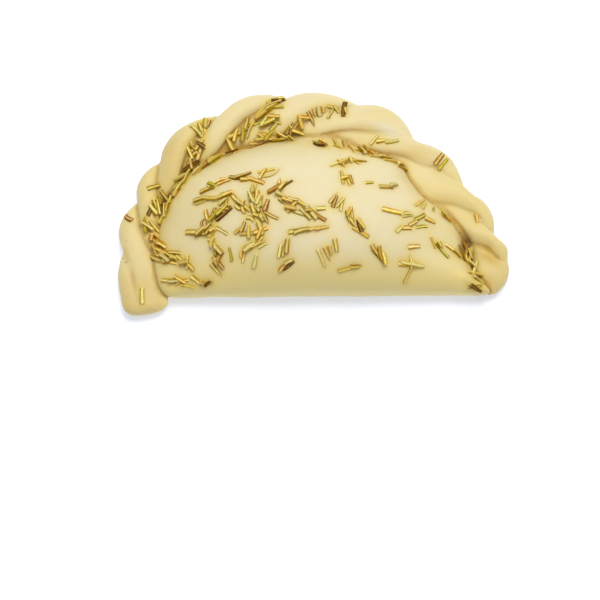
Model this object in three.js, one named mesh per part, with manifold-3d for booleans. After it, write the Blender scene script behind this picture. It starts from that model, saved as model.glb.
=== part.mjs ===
// An empanada: a half-moon turnover of uncooked dough with a straight fold in
// front, a rope-crimped rim round its arc, and cut rosemary needles over its top.
// It is one solid. Millimetres, +Z up, X along the straight fold, +Y from the
// fold to the crimped arc, origin at the bottom centre of the bounding box.
import * as THREE from 'three';
import { mergeVertices } from 'three/addons/utils/BufferGeometryUtils.js';
import Module from 'manifold-3d';

const wasm = await Module();
wasm.setup();

// ---------------------------------------------------------------- dimensions

// The rim's centre line in plan: a short run up from each end, then two arcs
// that meet at the back. Fullness is how squarely each arc turns its shoulder.
const LEFT_END = [-54.0, -31.4];
const RIGHT_END = [51.8, -26.8];
const LEFT_REACH = -54.6;
const RIGHT_REACH = 53.6;
const SHOULDER_Y = -20;
const BACK = [-2, 28.6];
const LEFT_FULLNESS = 0.64;
const RIGHT_FULLNESS = 0.43;
const GUIDE_STEPS = 400;

// The rope's section at stations along the rim: how far it reaches outwards,
// inwards and above its middle height.
const ROPE_OUT = [
  [0, 5.2], [10, 6.0], [22, 6.6], [37, 5.6], [53, 6.7], [78, 7.7], [96, 7.4], [114, 8.1],
  [135, 6.6], [154, 5.4], [171, 5.7], [182, 4.4],
];
const ROPE_IN = [
  [-3, 10.2], [2, 9.0], [14, 7.0], [38, 6.4], [53, 8.6], [74, 10.4], [90, 9.0], [106, 8.4],
  [114, 9.6], [127, 7.6], [134, 10.4], [141, 11.6], [150, 9.2], [172, 8.8], [182, 7.0],
];
const ROPE_RISE = [[0, 3.4], [18, 4.8], [60, 6.0], [100, 5.6], [150, 4.8], [175, 4.0], [182, 3.4]];
const ROPE_MIDDLE = 4.2;
const ROPE_DROP = 4.8;
const SQUARENESS = 2.2;

// The rope runs a little past the guide's ends and closes in blunt noses.
const LEFT_NOSE = { start: -3.4, length: 5.4, bluntness: 2.6 };
const RIGHT_NOSE = { start: 1.2, length: 7.0, bluntness: 2.4 };

// Creases between neighbouring folds: where each starts at the outline and
// ends at the seam, along the rim, its depth at the outline and on top, and
// how late over the fold it swings from the one place to the other.
const CREASES = [
  { outer: 16.5, inner: -7.0, edge: 2.4, top: 0.4, sweep: 1.0 },
  { outer: 31.5, inner: 16.0, edge: 3.0, top: 2.8, sweep: 1.0 },
  { outer: 44.7, inner: 32.1, edge: 3.2, top: 2.8, sweep: 1.0 },
  { outer: 67.4, inner: 44.1, edge: 3.4, top: 3.2, sweep: 1.0 },
  { outer: 86.8, inner: 62.3, edge: 2.2, top: 3.4, sweep: 1.0 },
  { outer: 106.8, inner: 87.5, edge: 2.4, top: 2.4, sweep: 1.0 },
  { outer: 126.6, inner: 99.0, edge: 4.4, top: 1.5, sweep: 1.7 },
  { outer: 147.9, inner: 118.5, edge: 4.6, top: 1.3, sweep: 1.5 },
  { outer: 164.8, inner: 144.5, edge: 4.4, top: 1.7, sweep: 1.2 },
  { outer: 171.5, inner: 163.5, edge: 0.4, top: 2.8, sweep: 1.0 },
];
const CREASE_SEAM_ANGLE = 150;
const CREASE_FADE_ANGLE = 145;
const EDGE_BLUNTNESS = 0.8;
const TOP_BLUNTNESS = [[0, 0.55], [88, 0.55], [112, 0.95], [164, 0.95], [176, 0.6]];
const EDGE_SKEW = 0.82;
const TOP_SKEW = 1.3;
const TOP_ANGLE = 70;

// The filled body: a pillow from the seam to the straight fold.
const BODY_CENTRE = [0, -5.5];
const BODY_HEIGHT = 25;
const CROWN = [47, 24];
const FOLD_LEFT = [-46, -29.8];
const FOLD_RIGHT = [54.5, -29.0];
const FOLD_EQUATOR = 7.6;
const SEAM_EQUATOR = { left: 5.0, right: 7.2 };
const BODY_UNDER_ROPE = 2.4;
const BODY_FULLNESS = 2.15;
const FOLD_STEEPNESS = 0.48;
const SEAM_STEEPNESS = { left: 0.68, right: 1.0 };
const CORNER_SOFTNESS = 2.2;
const BASE_INSET = 0.9;
// How long the body's level lines keep the outline's shape on the way up, in a
// dent of the outline and at its corners, and which reach of it, of the crown's
// oval, counts as the one and as the other.
const LEVEL_HOLD = { dent: 2, corner: 8 };
const DENT_REACH = [0.8, 1];
// Where, round the body from back to front and from left to right, the seam's
// form turns into the fold's and the left side's into the right's.
const FRONT_TURN = [0, 0.95];
const RIGHT_TURN = [-0.3, 0.7];
// How much of the guide the body's seam follows, short of its two ends.
const SEAM_FROM = 4;
const SEAM_SHORT_OF_END = 3;
// The rounded foot under the widest line: how far in, and how far down.
const FOOT_RINGS = [
  { reach: 0.985, drop: 0.55 },
  { reach: 0.955, drop: 0.88 },
  { reach: BASE_INSET, drop: 1 },
];

// Cut rosemary lies in drifts. Each scatters needles about a straight run: its
// two ends, the spread off it, how many, their heading in degrees and how far
// they turn from it. On the rim an end is a distance along the guide and one in
// from it, and headings are from the rim's own direction.
const RIM_DRIFTS = [
  { from: [1, 1.5], to: [2, 1.5], spread: 0.3, count: 1, heading: 0, turn: 8 },
  { from: [25, -4], to: [26, -4], spread: 0.3, count: 1, heading: 60, turn: 10 },
  { from: [36, 0], to: [37, 0], spread: 0.4, count: 1, heading: -35, turn: 10 },
  { from: [19, 6], to: [12, 8], spread: 1.8, count: 12, heading: 50, turn: 60 },
  { from: [25, 2], to: [17, 6], spread: 1.8, count: 14, heading: 30, turn: 45 },
  { from: [29, 3], to: [36, 4], spread: 1.4, count: 9, heading: 15, turn: 60 },
  { from: [26, 5.5], to: [48, 6.5], spread: 1.4, count: 22, heading: 5, turn: 35 },
  { from: [57, 1], to: [46, 7], spread: 2.4, count: 24, heading: 35, turn: 100 },
  { from: [57, -2], to: [63, -3], spread: 1.2, count: 7, heading: 75, turn: 40 },
  { from: [49, 7.5], to: [66, 9], spread: 1, count: 16, heading: 0, turn: 25 },
  { from: [73, 3], to: [64, 8], spread: 2.4, count: 24, heading: 35, turn: 80 },
  { from: [74, 2], to: [83, 3], spread: 2, count: 11, heading: 40, turn: 80 },
  { from: [76, 0], to: [85, -3.5], spread: 1.8, count: 17, heading: 30, turn: 70 },
  { from: [74, 8], to: [88, 8], spread: 1.8, count: 18, heading: -5, turn: 60 },
  { from: [85, 7], to: [90, 3.5], spread: 1.2, count: 6, heading: 60, turn: 60 },
  { from: [91, 2.5], to: [105, -3.5], spread: 2, count: 10, heading: -60, turn: 90 },
  { from: [112, 8], to: [120, 8.5], spread: 1.6, count: 9, heading: 10, turn: 35 },
  { from: [114, 4], to: [122, 0.5], spread: 1, count: 3, heading: 80, turn: 60 },
  { from: [121, 7.5], to: [130, 6], spread: 0.7, count: 5, heading: 30, turn: 20 },
  { from: [132, -2], to: [142, -3], spread: 0.5, count: 2, heading: 100, turn: 10 },
  { from: [146, 8], to: [152, 8], spread: 0.9, count: 5, heading: 20, turn: 30 },
  { from: [156, 0], to: [157, 0], spread: 0.4, count: 1, heading: -20, turn: 10 },
  { from: [164, 7.5], to: [176, 5], spread: 1.2, count: 14, heading: 10, turn: 50 },
  { from: [177, 4], to: [183, 2], spread: 1.2, count: 4, heading: 110, turn: 50 },
];
// On the filled body an end is a place in plan, and headings are from +X.
const BODY_DRIFTS = [
  { from: [-35, 2], to: [-12, 5], spread: 2.2, count: 12, heading: 5, turn: 60 },
  { from: [-36, -2], to: [-25, -2], spread: 1.2, count: 6, heading: 5, turn: 30 },
  { from: [-34, -10], to: [-26, -5], spread: 2.4, count: 11, heading: 55, turn: 80 },
  { from: [-37, -13], to: [-29, -12], spread: 1.6, count: 8, heading: 0, turn: 60 },
  { from: [-24, -4], to: [-14, -10], spread: 2.2, count: 13, heading: -55, turn: 40 },
  { from: [-19, -1], to: [-15, -5], spread: 2, count: 9, heading: 80, turn: 35 },
  { from: [-12, -1], to: [-9, 1], spread: 1.3, count: 6, heading: 55, turn: 40 },
  { from: [-11, -4], to: [2, -9], spread: 2.4, count: 13, heading: -15, turn: 75 },
  { from: [-7, -14], to: [3, -13], spread: 0.6, count: 4, heading: 12, turn: 6 },
  { from: [-12, -19.5], to: [-7, -17], spread: 0.8, count: 3, heading: 75, turn: 12 },
  { from: [-24, -12.5], to: [-15, -14], spread: 1.8, count: 7, heading: 45, turn: 80 },
  { from: [-21, -17.5], to: [-15, -17], spread: 1.2, count: 5, heading: 28, turn: 20 },
  { from: [-31, -15], to: [-29, -24], spread: 1.6, count: 8, heading: -80, turn: 50 },
  { from: [-26, -19], to: [-17, -21.5], spread: 0.8, count: 4, heading: 90, turn: 25 },
  { from: [-10, -23], to: [-8, -23], spread: 0.8, count: 3, heading: 30, turn: 20 },
  { from: [-46, -17], to: [-37, -22], spread: 2.4, count: 11, heading: -40, turn: 70 },
  { from: [-46, -26], to: [-31, -27], spread: 1.6, count: 9, heading: -15, turn: 60 },
  { from: [0, 17.5], to: [8, 16.5], spread: 1.8, count: 8, heading: -40, turn: 60 },
  { from: [11, 17], to: [18, 14], spread: 1.5, count: 5, heading: -60, turn: 40 },
  { from: [6, 8], to: [13, 10], spread: 1.5, count: 7, heading: 0, turn: 90 },
  { from: [7, 4], to: [11, 3], spread: 1.2, count: 4, heading: -30, turn: 60 },
  { from: [4, -3], to: [8, -6], spread: 1, count: 4, heading: 55, turn: 30 },
  { from: [9, -8], to: [13, -13], spread: 2, count: 7, heading: -70, turn: 60 },
  { from: [6, -18], to: [1, -21.5], spread: 0.9, count: 4, heading: -75, turn: 20 },
  { from: [8, -24], to: [13, -23], spread: 0.5, count: 2, heading: 8, turn: 10 },
  { from: [17, -18], to: [21, -22], spread: 1.2, count: 4, heading: -60, turn: 25 },
  { from: [16, 2], to: [28, 2], spread: 1, count: 4, heading: 0, turn: 60 },
  { from: [23, -7], to: [36, -8], spread: 1.2, count: 5, heading: 5, turn: 40 },
  { from: [24, -12.5], to: [32, -9.5], spread: 1, count: 4, heading: 25, turn: 30 },
  { from: [27, -21], to: [31, -23], spread: 1, count: 5, heading: -5, turn: 30 },
  { from: [30, -16], to: [27, -27], spread: 0.6, count: 3, heading: 60, turn: 80 },
  { from: [35, -14.5], to: [44, -18], spread: 1.2, count: 6, heading: -50, turn: 40 },
  { from: [31, -2], to: [35, -4], spread: 1, count: 4, heading: 60, turn: 40 },
];
const NEEDLE_SEED = 20977;
const NEEDLE_LENGTH = { shortest: 1.2, usual: 4.4, longest: 6.4 };
const NEEDLE_WIDTH = [1.0, 1.65];
const NEEDLE_FLATNESS = 0.54;
const NEEDLE_TOP_WIDTH = 0.68;
const NEEDLE_TAPER = [0.5, 1];
const NEEDLE_SINK = 0.22;
const NEEDLE_SUPPORTS = [-0.9, -0.45, 0, 0.45, 0.9];
const SIDE_SUPPORT = 0.6;
const HIGHEST_PILE = 2.0;
const LOWEST_REST = 3;
const LARGEST_NEEDLES = 185;

// How finely the dough is faceted.
const FOLD_STATIONS = [0, 0.1, 0.28, 0.5, 0.72, 0.9];
const SECTION_ANGLES = [-150, -90, -48, -22, 0, 18, 36, 54, 72, 90, 108, 126, 144, 162, 180];
const SNAP_STEP = 1 / 256;
const BODY_SIDES = 60;
const BODY_RINGS = 8;
const SEAM_STEPS = 120;
const OUTLINE_STEPS = 360;
const SOFTENING_REACH = 2.5;
const MERGE_DISTANCE = 1e-4;

const DOUGH_COLOUR = 0xebdda9;

// ------------------------------------------------------------------- helpers

const lerp = (a, b, t) => a + (b - a) * t;

const smoothstep = (low, high, value) => {
  const t = THREE.MathUtils.clamp((value - low) / (high - low), 0, 1);
  return t * t * (3 - 2 * t);
};

// A smooth value at s from rows of [s, value].
function along(rows, s) {
  if (s <= rows[0][0]) return rows[0][1];
  for (let i = 1; i < rows.length; i += 1) {
    const [s1, v1] = rows[i];
    const [s0, v0] = rows[i - 1];
    if (s <= s1) return lerp(v0, v1, smoothstep(s0, s1, s));
  }
  return rows[rows.length - 1][1];
}

const signedPower = (value, power) => Math.sign(value) * Math.abs(value) ** power;

function meshGeometry(vertices, triangles) {
  const geometry = new THREE.BufferGeometry();
  geometry.setAttribute('position', new THREE.Float32BufferAttribute(vertices, 3));
  geometry.setIndex(triangles);
  return geometry;
}

// A manifold-3d solid from a closed geometry, with collapsed facets left out.
function toSolid(geometry) {
  const bare = geometry.clone();
  bare.deleteAttribute('normal');
  bare.deleteAttribute('uv');
  const merged = mergeVertices(bare, MERGE_DISTANCE);
  const index = merged.getIndex().array;
  const triangles = [];
  for (let i = 0; i < index.length; i += 3) {
    const [a, b, c] = [index[i], index[i + 1], index[i + 2]];
    if (a !== b && b !== c && c !== a) triangles.push(a, b, c);
  }
  return new wasm.Manifold(new wasm.Mesh({
    numProp: 3,
    vertProperties: new Float32Array(merged.getAttribute('position').array),
    triVerts: new Uint32Array(triangles),
  }));
}

function toGeometry(solid) {
  const { vertProperties, triVerts } = solid.getMesh();
  return meshGeometry(vertProperties, Array.from(triVerts));
}

// Corners moved to a fine grid, so that none lie closer together than its step.
function snapped(geometry) {
  const position = geometry.getAttribute('position');
  for (let i = 0; i < position.array.length; i += 1) {
    position.array[i] = Math.round(position.array[i] / SNAP_STEP) * SNAP_STEP;
  }
  return geometry;
}

// The largest closed shell alone: hollows that joining sealed are filled, and
// anything that touches nothing is dropped.
function largestShell(geometry) {
  const index = geometry.getIndex().array;
  const position = geometry.getAttribute('position');
  const parent = Array.from({ length: position.count }, (_, i) => i);
  const root = (i) => {
    let top = i;
    while (parent[top] !== top) top = parent[top];
    parent[i] = top;
    return top;
  };
  for (let i = 0; i < index.length; i += 3) {
    parent[root(index[i + 1])] = root(index[i]);
    parent[root(index[i + 2])] = root(index[i]);
  }
  const volumes = new Map();
  const [a, b, c] = [new THREE.Vector3(), new THREE.Vector3(), new THREE.Vector3()];
  for (let i = 0; i < index.length; i += 3) {
    [a, b, c].forEach((corner, k) => corner.fromBufferAttribute(position, index[i + k]));
    const shell = root(index[i]);
    volumes.set(shell, (volumes.get(shell) ?? 0) + a.dot(b.cross(c)) / 6);
  }
  const [largest] = [...volumes].reduce((best, entry) => (entry[1] > best[1] ? entry : best));
  const triangles = [];
  for (let i = 0; i < index.length; i += 3) {
    if (root(index[i]) === largest) triangles.push(index[i], index[i + 1], index[i + 2]);
  }
  const kept = new Map();
  const vertices = [];
  const renumbered = triangles.map((vertex) => {
    if (!kept.has(vertex)) {
      kept.set(vertex, kept.size);
      vertices.push(position.getX(vertex), position.getY(vertex), position.getZ(vertex));
    }
    return kept.get(vertex);
  });
  return meshGeometry(vertices, renumbered);
}

// ----------------------------------------------------------------- rim guide

function rimGuide() {
  const vector = (p) => new THREE.Vector2(p[0], p[1]);
  const rise = BACK[1] - SHOULDER_Y;
  const pieces = [
    new THREE.QuadraticBezierCurve(
      vector(LEFT_END),
      new THREE.Vector2(LEFT_REACH, (LEFT_END[1] + SHOULDER_Y) / 2),
      new THREE.Vector2(LEFT_REACH, SHOULDER_Y),
    ),
    new THREE.CubicBezierCurve(
      new THREE.Vector2(LEFT_REACH, SHOULDER_Y),
      new THREE.Vector2(LEFT_REACH, SHOULDER_Y + LEFT_FULLNESS * rise),
      new THREE.Vector2(lerp(BACK[0], LEFT_REACH, LEFT_FULLNESS), BACK[1]),
      vector(BACK),
    ),
    new THREE.CubicBezierCurve(
      vector(BACK),
      new THREE.Vector2(lerp(BACK[0], RIGHT_REACH, RIGHT_FULLNESS), BACK[1]),
      new THREE.Vector2(RIGHT_REACH, SHOULDER_Y + RIGHT_FULLNESS * rise),
      new THREE.Vector2(RIGHT_REACH, SHOULDER_Y),
    ),
    new THREE.QuadraticBezierCurve(
      new THREE.Vector2(RIGHT_REACH, SHOULDER_Y),
      new THREE.Vector2(RIGHT_REACH, (RIGHT_END[1] + SHOULDER_Y) / 2),
      vector(RIGHT_END),
    ),
  ];
  const points = [];
  pieces.forEach((piece, i) => {
    const steps = piece.getPoints(GUIDE_STEPS);
    points.push(...(i === 0 ? steps : steps.slice(1)));
  });
  const lengths = [0];
  for (let i = 1; i < points.length; i += 1) {
    lengths.push(lengths[i - 1] + points[i].distanceTo(points[i - 1]));
  }
  return { points, lengths, length: lengths[lengths.length - 1] };
}

const guide = rimGuide();

// The guide's point and outward direction at a distance s along it, run on
// straight past both ends.
function rimAt(s) {
  const { points, lengths } = guide;
  let i = lengths.findIndex((value) => value > s);
  if (i === -1) i = lengths.length - 1;
  i = Math.max(i, 1);
  const along01 = (s - lengths[i - 1]) / (lengths[i] - lengths[i - 1]);
  const tangent = points[i].clone().sub(points[i - 1]).normalize();
  return {
    x: lerp(points[i - 1].x, points[i].x, along01),
    y: lerp(points[i - 1].y, points[i].y, along01),
    nx: -tangent.y,
    ny: tangent.x,
  };
}

// ---------------------------------------------------------------------- rope

const ROPE_START = LEFT_NOSE.start;
const ROPE_END = guide.length + RIGHT_NOSE.start;

// Every fold lies between two of these lines; the first and last are the noses.
const FOLD_LINES = [
  { outer: ROPE_START, inner: ROPE_START, edge: 0, top: 0, sweep: 1 },
  ...CREASES,
  { outer: ROPE_END, inner: ROPE_END, edge: 0, top: 0, sweep: 1 },
];

// Bunches whatever would run past either nose up against it.
function settle(s) {
  const left = ROPE_START + LEFT_NOSE.length;
  const right = ROPE_END - RIGHT_NOSE.length;
  if (s === ROPE_START || s === ROPE_END) return s;
  if (s < left) return ROPE_START + LEFT_NOSE.length * Math.exp((s - left) / LEFT_NOSE.length);
  if (s > right) return ROPE_END - RIGHT_NOSE.length * Math.exp((right - s) / RIGHT_NOSE.length);
  return s;
}

function creaseAt(line, angle) {
  const whole = 1 - Math.cos(THREE.MathUtils.degToRad(CREASE_SEAM_ANGLE));
  const turn = (1 - Math.cos(Math.max(angle, 0))) / whole;
  return settle(lerp(line.outer, line.inner, turn ** line.sweep));
}

function creaseDepth(line, angle) {
  const onTop = smoothstep(0, THREE.MathUtils.degToRad(TOP_ANGLE), angle);
  const below = smoothstep(-Math.PI / 2, 0, angle);
  const inside = 1 - smoothstep(THREE.MathUtils.degToRad(CREASE_FADE_ANGLE), Math.PI, angle);
  return lerp(line.edge, line.top, onTop) * below * inside;
}

// How much of its section the rope keeps towards its two noses.
function noseScale(s) {
  const left = THREE.MathUtils.clamp((ROPE_START + LEFT_NOSE.length - s) / LEFT_NOSE.length, 0, 1);
  const right = THREE.MathUtils.clamp((s - ROPE_END + RIGHT_NOSE.length) / RIGHT_NOSE.length, 0, 1);
  return (1 - left ** LEFT_NOSE.bluntness) ** (1 / LEFT_NOSE.bluntness)
    * (1 - right ** RIGHT_NOSE.bluntness) ** (1 / RIGHT_NOSE.bluntness);
}

// A point of the rope: fold number, how far across that fold, and the angle
// round the section from its outermost point over the top.
function ropePoint(fold, across, angle) {
  const before = FOLD_LINES[fold];
  const after = FOLD_LINES[fold + 1];
  const s = lerp(creaseAt(before, angle), creaseAt(after, angle), across);
  const onTop = smoothstep(0, THREE.MathUtils.degToRad(TOP_ANGLE), angle);
  const skew = lerp(EDGE_SKEW, TOP_SKEW, onTop);
  const bluntness = lerp(EDGE_BLUNTNESS, along(TOP_BLUNTNESS, s), onTop);
  const swell = Math.sin(Math.PI * across ** skew) ** bluntness;
  const depth = lerp(creaseDepth(before, angle), creaseDepth(after, angle), across) * (1 - swell);

  const cos = signedPower(Math.cos(angle), 2 / SQUARENESS);
  const sin = signedPower(Math.sin(angle), 2 / SQUARENESS);
  let out = cos * along(cos > 0 ? ROPE_OUT : ROPE_IN, s);
  let up = sin * (sin > 0 ? along(ROPE_RISE, s) : ROPE_DROP);
  const reach = Math.hypot(out, up);
  const keep = Math.max(reach - depth, 0) / reach * noseScale(s);
  out *= keep;
  up *= keep;
  const { x, y, nx, ny } = rimAt(s);
  return [x + nx * out, y + ny * out, Math.max(ROPE_MIDDLE + up, 0)];
}

function ropeGeometry() {
  const rings = [];
  for (let fold = 0; fold < FOLD_LINES.length - 1; fold += 1) {
    FOLD_STATIONS.forEach((across) => rings.push([fold, across]));
  }
  rings.push([FOLD_LINES.length - 2, 1]);
  const sides = SECTION_ANGLES.length;
  const vertices = [];
  const triangles = [];
  rings.forEach(([fold, across], ring) => {
    SECTION_ANGLES.forEach((degrees, side) => {
      vertices.push(...ropePoint(fold, across, THREE.MathUtils.degToRad(degrees)));
      if (ring === 0) return;
      const next = (side + 1) % sides;
      const [a, b] = [(ring - 1) * sides + side, (ring - 1) * sides + next];
      const [c, d] = [ring * sides + side, ring * sides + next];
      triangles.push(a, b, c, b, d, c);
    });
  });
  return meshGeometry(vertices, triangles);
}

// ---------------------------------------------------------------------- body

// The body's outline at its widest: under the rope's inner side, then back
// along the straight fold, resampled evenly and softened at its corners.
function bodyOutline() {
  const corners = [];
  for (let i = 0; i <= SEAM_STEPS; i += 1) {
    const s = lerp(SEAM_FROM, guide.length - SEAM_SHORT_OF_END, i / SEAM_STEPS);
    const { x, y, nx, ny } = rimAt(s);
    const inset = along(ROPE_IN, s) - BODY_UNDER_ROPE;
    corners.push(new THREE.Vector3(x - nx * inset, y - ny * inset, 0));
  }
  corners.push(new THREE.Vector3(...FOLD_RIGHT, 0), new THREE.Vector3(...FOLD_LEFT, 0));
  const loop = new THREE.CurvePath();
  corners.forEach((corner, i) => loop.add(new THREE.LineCurve3(corner, corners[(i + 1) % corners.length])));
  const points = Array.from({ length: OUTLINE_STEPS }, (_, i) => loop.getPointAt(i / OUTLINE_STEPS));
  const step = loop.getLength() / OUTLINE_STEPS;
  const width = Math.ceil((SOFTENING_REACH * CORNER_SOFTNESS) / step);
  return Array.from({ length: BODY_SIDES }, (_, i) => {
    const centre = Math.round((i * OUTLINE_STEPS) / BODY_SIDES);
    const sum = new THREE.Vector3();
    let total = 0;
    for (let k = -width; k <= width; k += 1) {
      const weight = Math.exp(-0.5 * ((k * step) / CORNER_SOFTNESS) ** 2);
      sum.addScaledVector(points[(centre + k + OUTLINE_STEPS) % OUTLINE_STEPS], weight);
      total += weight;
    }
    return sum.divideScalar(total);
  });
}

function bodyGeometry() {
  const outline = bodyOutline();
  // Rings from just under the crown, over the widest line, to the flat base.
  const rings = [];
  for (let ring = 1; ring <= BODY_RINGS; ring += 1) {
    const angle = (ring / BODY_RINGS) * (Math.PI / 2);
    rings.push({ reach: Math.sin(angle) ** (2 / BODY_FULLNESS), drop: 0 });
  }
  rings.push(...FOOT_RINGS);
  const vertices = [BODY_CENTRE[0], BODY_CENTRE[1], BODY_HEIGHT];
  rings.forEach(({ reach, drop }) => {
    outline.forEach((point) => {
      const out = [point.x - BODY_CENTRE[0], point.y - BODY_CENTRE[1]];
      const crown = Math.hypot(out[0] / CROWN[0], out[1] / CROWN[1]);
      const front = smoothstep(...FRONT_TURN, -out[1] / CROWN[1] / crown);
      const right = smoothstep(...RIGHT_TURN, out[0] / CROWN[0] / crown);
      const seamEquator = lerp(SEAM_EQUATOR.left, SEAM_EQUATOR.right, right);
      const equator = lerp(seamEquator, FOLD_EQUATOR, front);
      const seamSteepness = lerp(SEAM_STEEPNESS.left, SEAM_STEEPNESS.right, right);
      const steepness = lerp(seamSteepness, FOLD_STEEPNESS, front);
      const lift = (1 - Math.min(reach, 1) ** BODY_FULLNESS) ** steepness;
      const height = drop > 0 ? equator * (1 - drop) : equator + (BODY_HEIGHT - equator) * lift;
      // Level lines turn from the outline's shape to an oval towards the crown.
      const hold = lerp(LEVEL_HOLD.dent, LEVEL_HOLD.corner, smoothstep(...DENT_REACH, crown));
      const oval = drop > 0 ? 1 : lerp(1 / crown, 1, reach ** hold);
      vertices.push(BODY_CENTRE[0] + out[0] * reach * oval, BODY_CENTRE[1] + out[1] * reach * oval, height);
    });
  });
  vertices.push(BODY_CENTRE[0], BODY_CENTRE[1], 0);
  const last = vertices.length / 3 - 1;
  const triangles = [];
  for (let i = 0; i < BODY_SIDES; i += 1) {
    const next = (i + 1) % BODY_SIDES;
    triangles.push(0, 1 + next, 1 + i);
    for (let ring = 1; ring < rings.length; ring += 1) {
      const [a, b] = [1 + (ring - 1) * BODY_SIDES + i, 1 + (ring - 1) * BODY_SIDES + next];
      const [c, d] = [1 + ring * BODY_SIDES + i, 1 + ring * BODY_SIDES + next];
      triangles.push(a, b, c, b, d, c);
    }
    const foot = 1 + (rings.length - 1) * BODY_SIDES;
    triangles.push(last, foot + i, foot + next);
  }
  return meshGeometry(vertices, triangles);
}

// ------------------------------------------------------------------ rosemary

// A small repeatable random source, 0 to 1: a linear congruential generator.
const RANDOM_MULTIPLIER = 1664525;
const RANDOM_INCREMENT = 1013904223;
const RANDOM_RANGE = 2 ** 32;

function randomSource(seed) {
  let state = seed;
  return () => {
    state = (Math.imul(state, RANDOM_MULTIPLIER) + RANDOM_INCREMENT) >>> 0;
    return state / RANDOM_RANGE;
  };
}

// A place on the rim: a distance along the guide and one in from it.
function onRim(s, inset) {
  const { x, y, nx, ny } = rimAt(s);
  return { x: x - nx * inset, y: y - ny * inset, direction: Math.atan2(-nx, ny) };
}

const onBody = (x, y) => ({ x, y, direction: 0 });

// Every needle as scattered in plan, longest first.
function scatterNeedles() {
  const random = randomSource(NEEDLE_SEED);
  const spread = () => random() + random() - 1;
  const { shortest, usual, longest } = NEEDLE_LENGTH;
  const needles = [];
  const scatter = (drifts, placeAt) => drifts.forEach((drift) => {
    for (let i = 0; i < drift.count; i += 1) {
      const t = (i + random()) / drift.count;
      const first = lerp(drift.from[0], drift.to[0], t) + drift.spread * spread();
      const second = lerp(drift.from[1], drift.to[1], t) + drift.spread * spread();
      const { x, y, direction } = placeAt(first, second);
      const heading = direction + THREE.MathUtils.degToRad(drift.heading + drift.turn * spread());
      const size = random();
      const length = size < 0.5
        ? lerp(shortest, usual, Math.sqrt(size * 2))
        : lerp(usual, longest, (size * 2 - 1) ** 2);
      const width = lerp(...NEEDLE_WIDTH, random());
      const taper = lerp(...NEEDLE_TAPER, random());
      needles.push({ x, y, heading, length, width, taper });
    }
  });
  scatter(RIM_DRIFTS, onRim);
  scatter(BODY_DRIFTS, onBody);
  return needles.sort((a, b) => b.length - a.length);
}

// Lays the needles one by one on the dough and on those already down. One that
// would hang over the edge or stand on a tall pile is left out.
function layNeedles(doughGeometry, needles) {
  const surface = new THREE.Mesh(doughGeometry, new THREE.MeshBasicMaterial());
  const ray = new THREE.Raycaster();
  const doughHeight = (x, y) => {
    ray.set(new THREE.Vector3(x, y, BODY_HEIGHT * 2), new THREE.Vector3(0, 0, -1));
    const hit = ray.intersectObject(surface)[0];
    return hit ? hit.point.z : -Infinity;
  };
  const laid = [];
  const restHeight = (x, y) => laid.reduce((height, needle) => {
    const [dx, dy] = [x - needle.centre.x, y - needle.centre.y];
    const lengthwise = dx * needle.ahead.x + dy * needle.ahead.y;
    const sideways = dy * needle.ahead.x - dx * needle.ahead.y;
    if (Math.abs(lengthwise) > needle.length / 2 || Math.abs(sideways) > needle.width / 2) return height;
    const slope = needle.ahead.z / Math.hypot(needle.ahead.x, needle.ahead.y);
    const top = needle.centre.z + slope * lengthwise + (needle.width * NEEDLE_FLATNESS) / 2;
    return Math.max(height, top);
  }, doughHeight(x, y));

  needles.forEach((needle) => {
    const half = needle.length / 2;
    const [cos, sin] = [Math.cos(needle.heading), Math.sin(needle.heading)];
    const place = (t) => [needle.x + cos * half * t, needle.y + sin * half * t];
    const heights = NEEDLE_SUPPORTS.map((t) => restHeight(...place(t)));
    const bare = NEEDLE_SUPPORTS.map((t) => doughHeight(...place(t)));
    if (Math.min(...bare) < LOWEST_REST) return;
    if (heights.some((height, i) => height - bare[i] > HIGHEST_PILE)) return;
    const [first, last] = [heights[0], heights[heights.length - 1]];
    const reach = NEEDLE_SUPPORTS[NEEDLE_SUPPORTS.length - 1];
    const line = (t) => lerp(first, last, (t + reach) / (2 * reach));
    const lift = Math.max(...NEEDLE_SUPPORTS.map((t, i) => heights[i] - line(t)));
    const rise = (last - first) / (reach * needle.length);
    const ahead = new THREE.Vector3(cos, sin, rise).normalize();
    const [left, right] = [1, -1].map((side) => {
      const [x, y] = [needle.x - sin * side * SIDE_SUPPORT, needle.y + cos * side * SIDE_SUPPORT];
      return new THREE.Vector3(x, y, doughHeight(x, y));
    });
    const across = left.sub(right);
    if (!Number.isFinite(across.z)) return;
    across.addScaledVector(ahead, -across.dot(ahead)).normalize();
    const up = new THREE.Vector3().crossVectors(ahead, across);
    const settled = (needle.width * NEEDLE_FLATNESS) / 2 - NEEDLE_SINK;
    const centre = new THREE.Vector3(needle.x, needle.y, line(0) + Math.max(lift, 0) + settled);
    laid.push({ ...needle, centre, ahead, across, up });
  });
  return laid;
}

// A needle's bar: a flat base in the dough, a narrower top, one end tapered.
function needleGeometry({ centre, ahead, across, up, length, width, taper }) {
  const top = NEEDLE_TOP_WIDTH / 2;
  const section = [[0.5, -0.5], [top, 0.5], [-top, 0.5], [-0.5, -0.5]];
  const vertices = [];
  [[-0.5, 1], [0.5, taper]].forEach(([t, scale]) => {
    section.forEach(([a, b]) => {
      const point = centre.clone().addScaledVector(ahead, t * length);
      point.addScaledVector(across, a * width * scale);
      point.addScaledVector(up, b * width * NEEDLE_FLATNESS);
      vertices.push(point.x, point.y, point.z);
    });
  });
  const triangles = [];
  const sides = section.length;
  for (let i = 0; i < sides; i += 1) {
    const next = (i + 1) % sides;
    triangles.push(i, next, sides + i, next, sides + next, sides + i);
    if (i > 0 && i < sides - 1) triangles.push(0, next, i, sides, sides + i, sides + next);
  }
  return meshGeometry(vertices, triangles);
}

// -------------------------------------------------------------------- object

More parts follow.
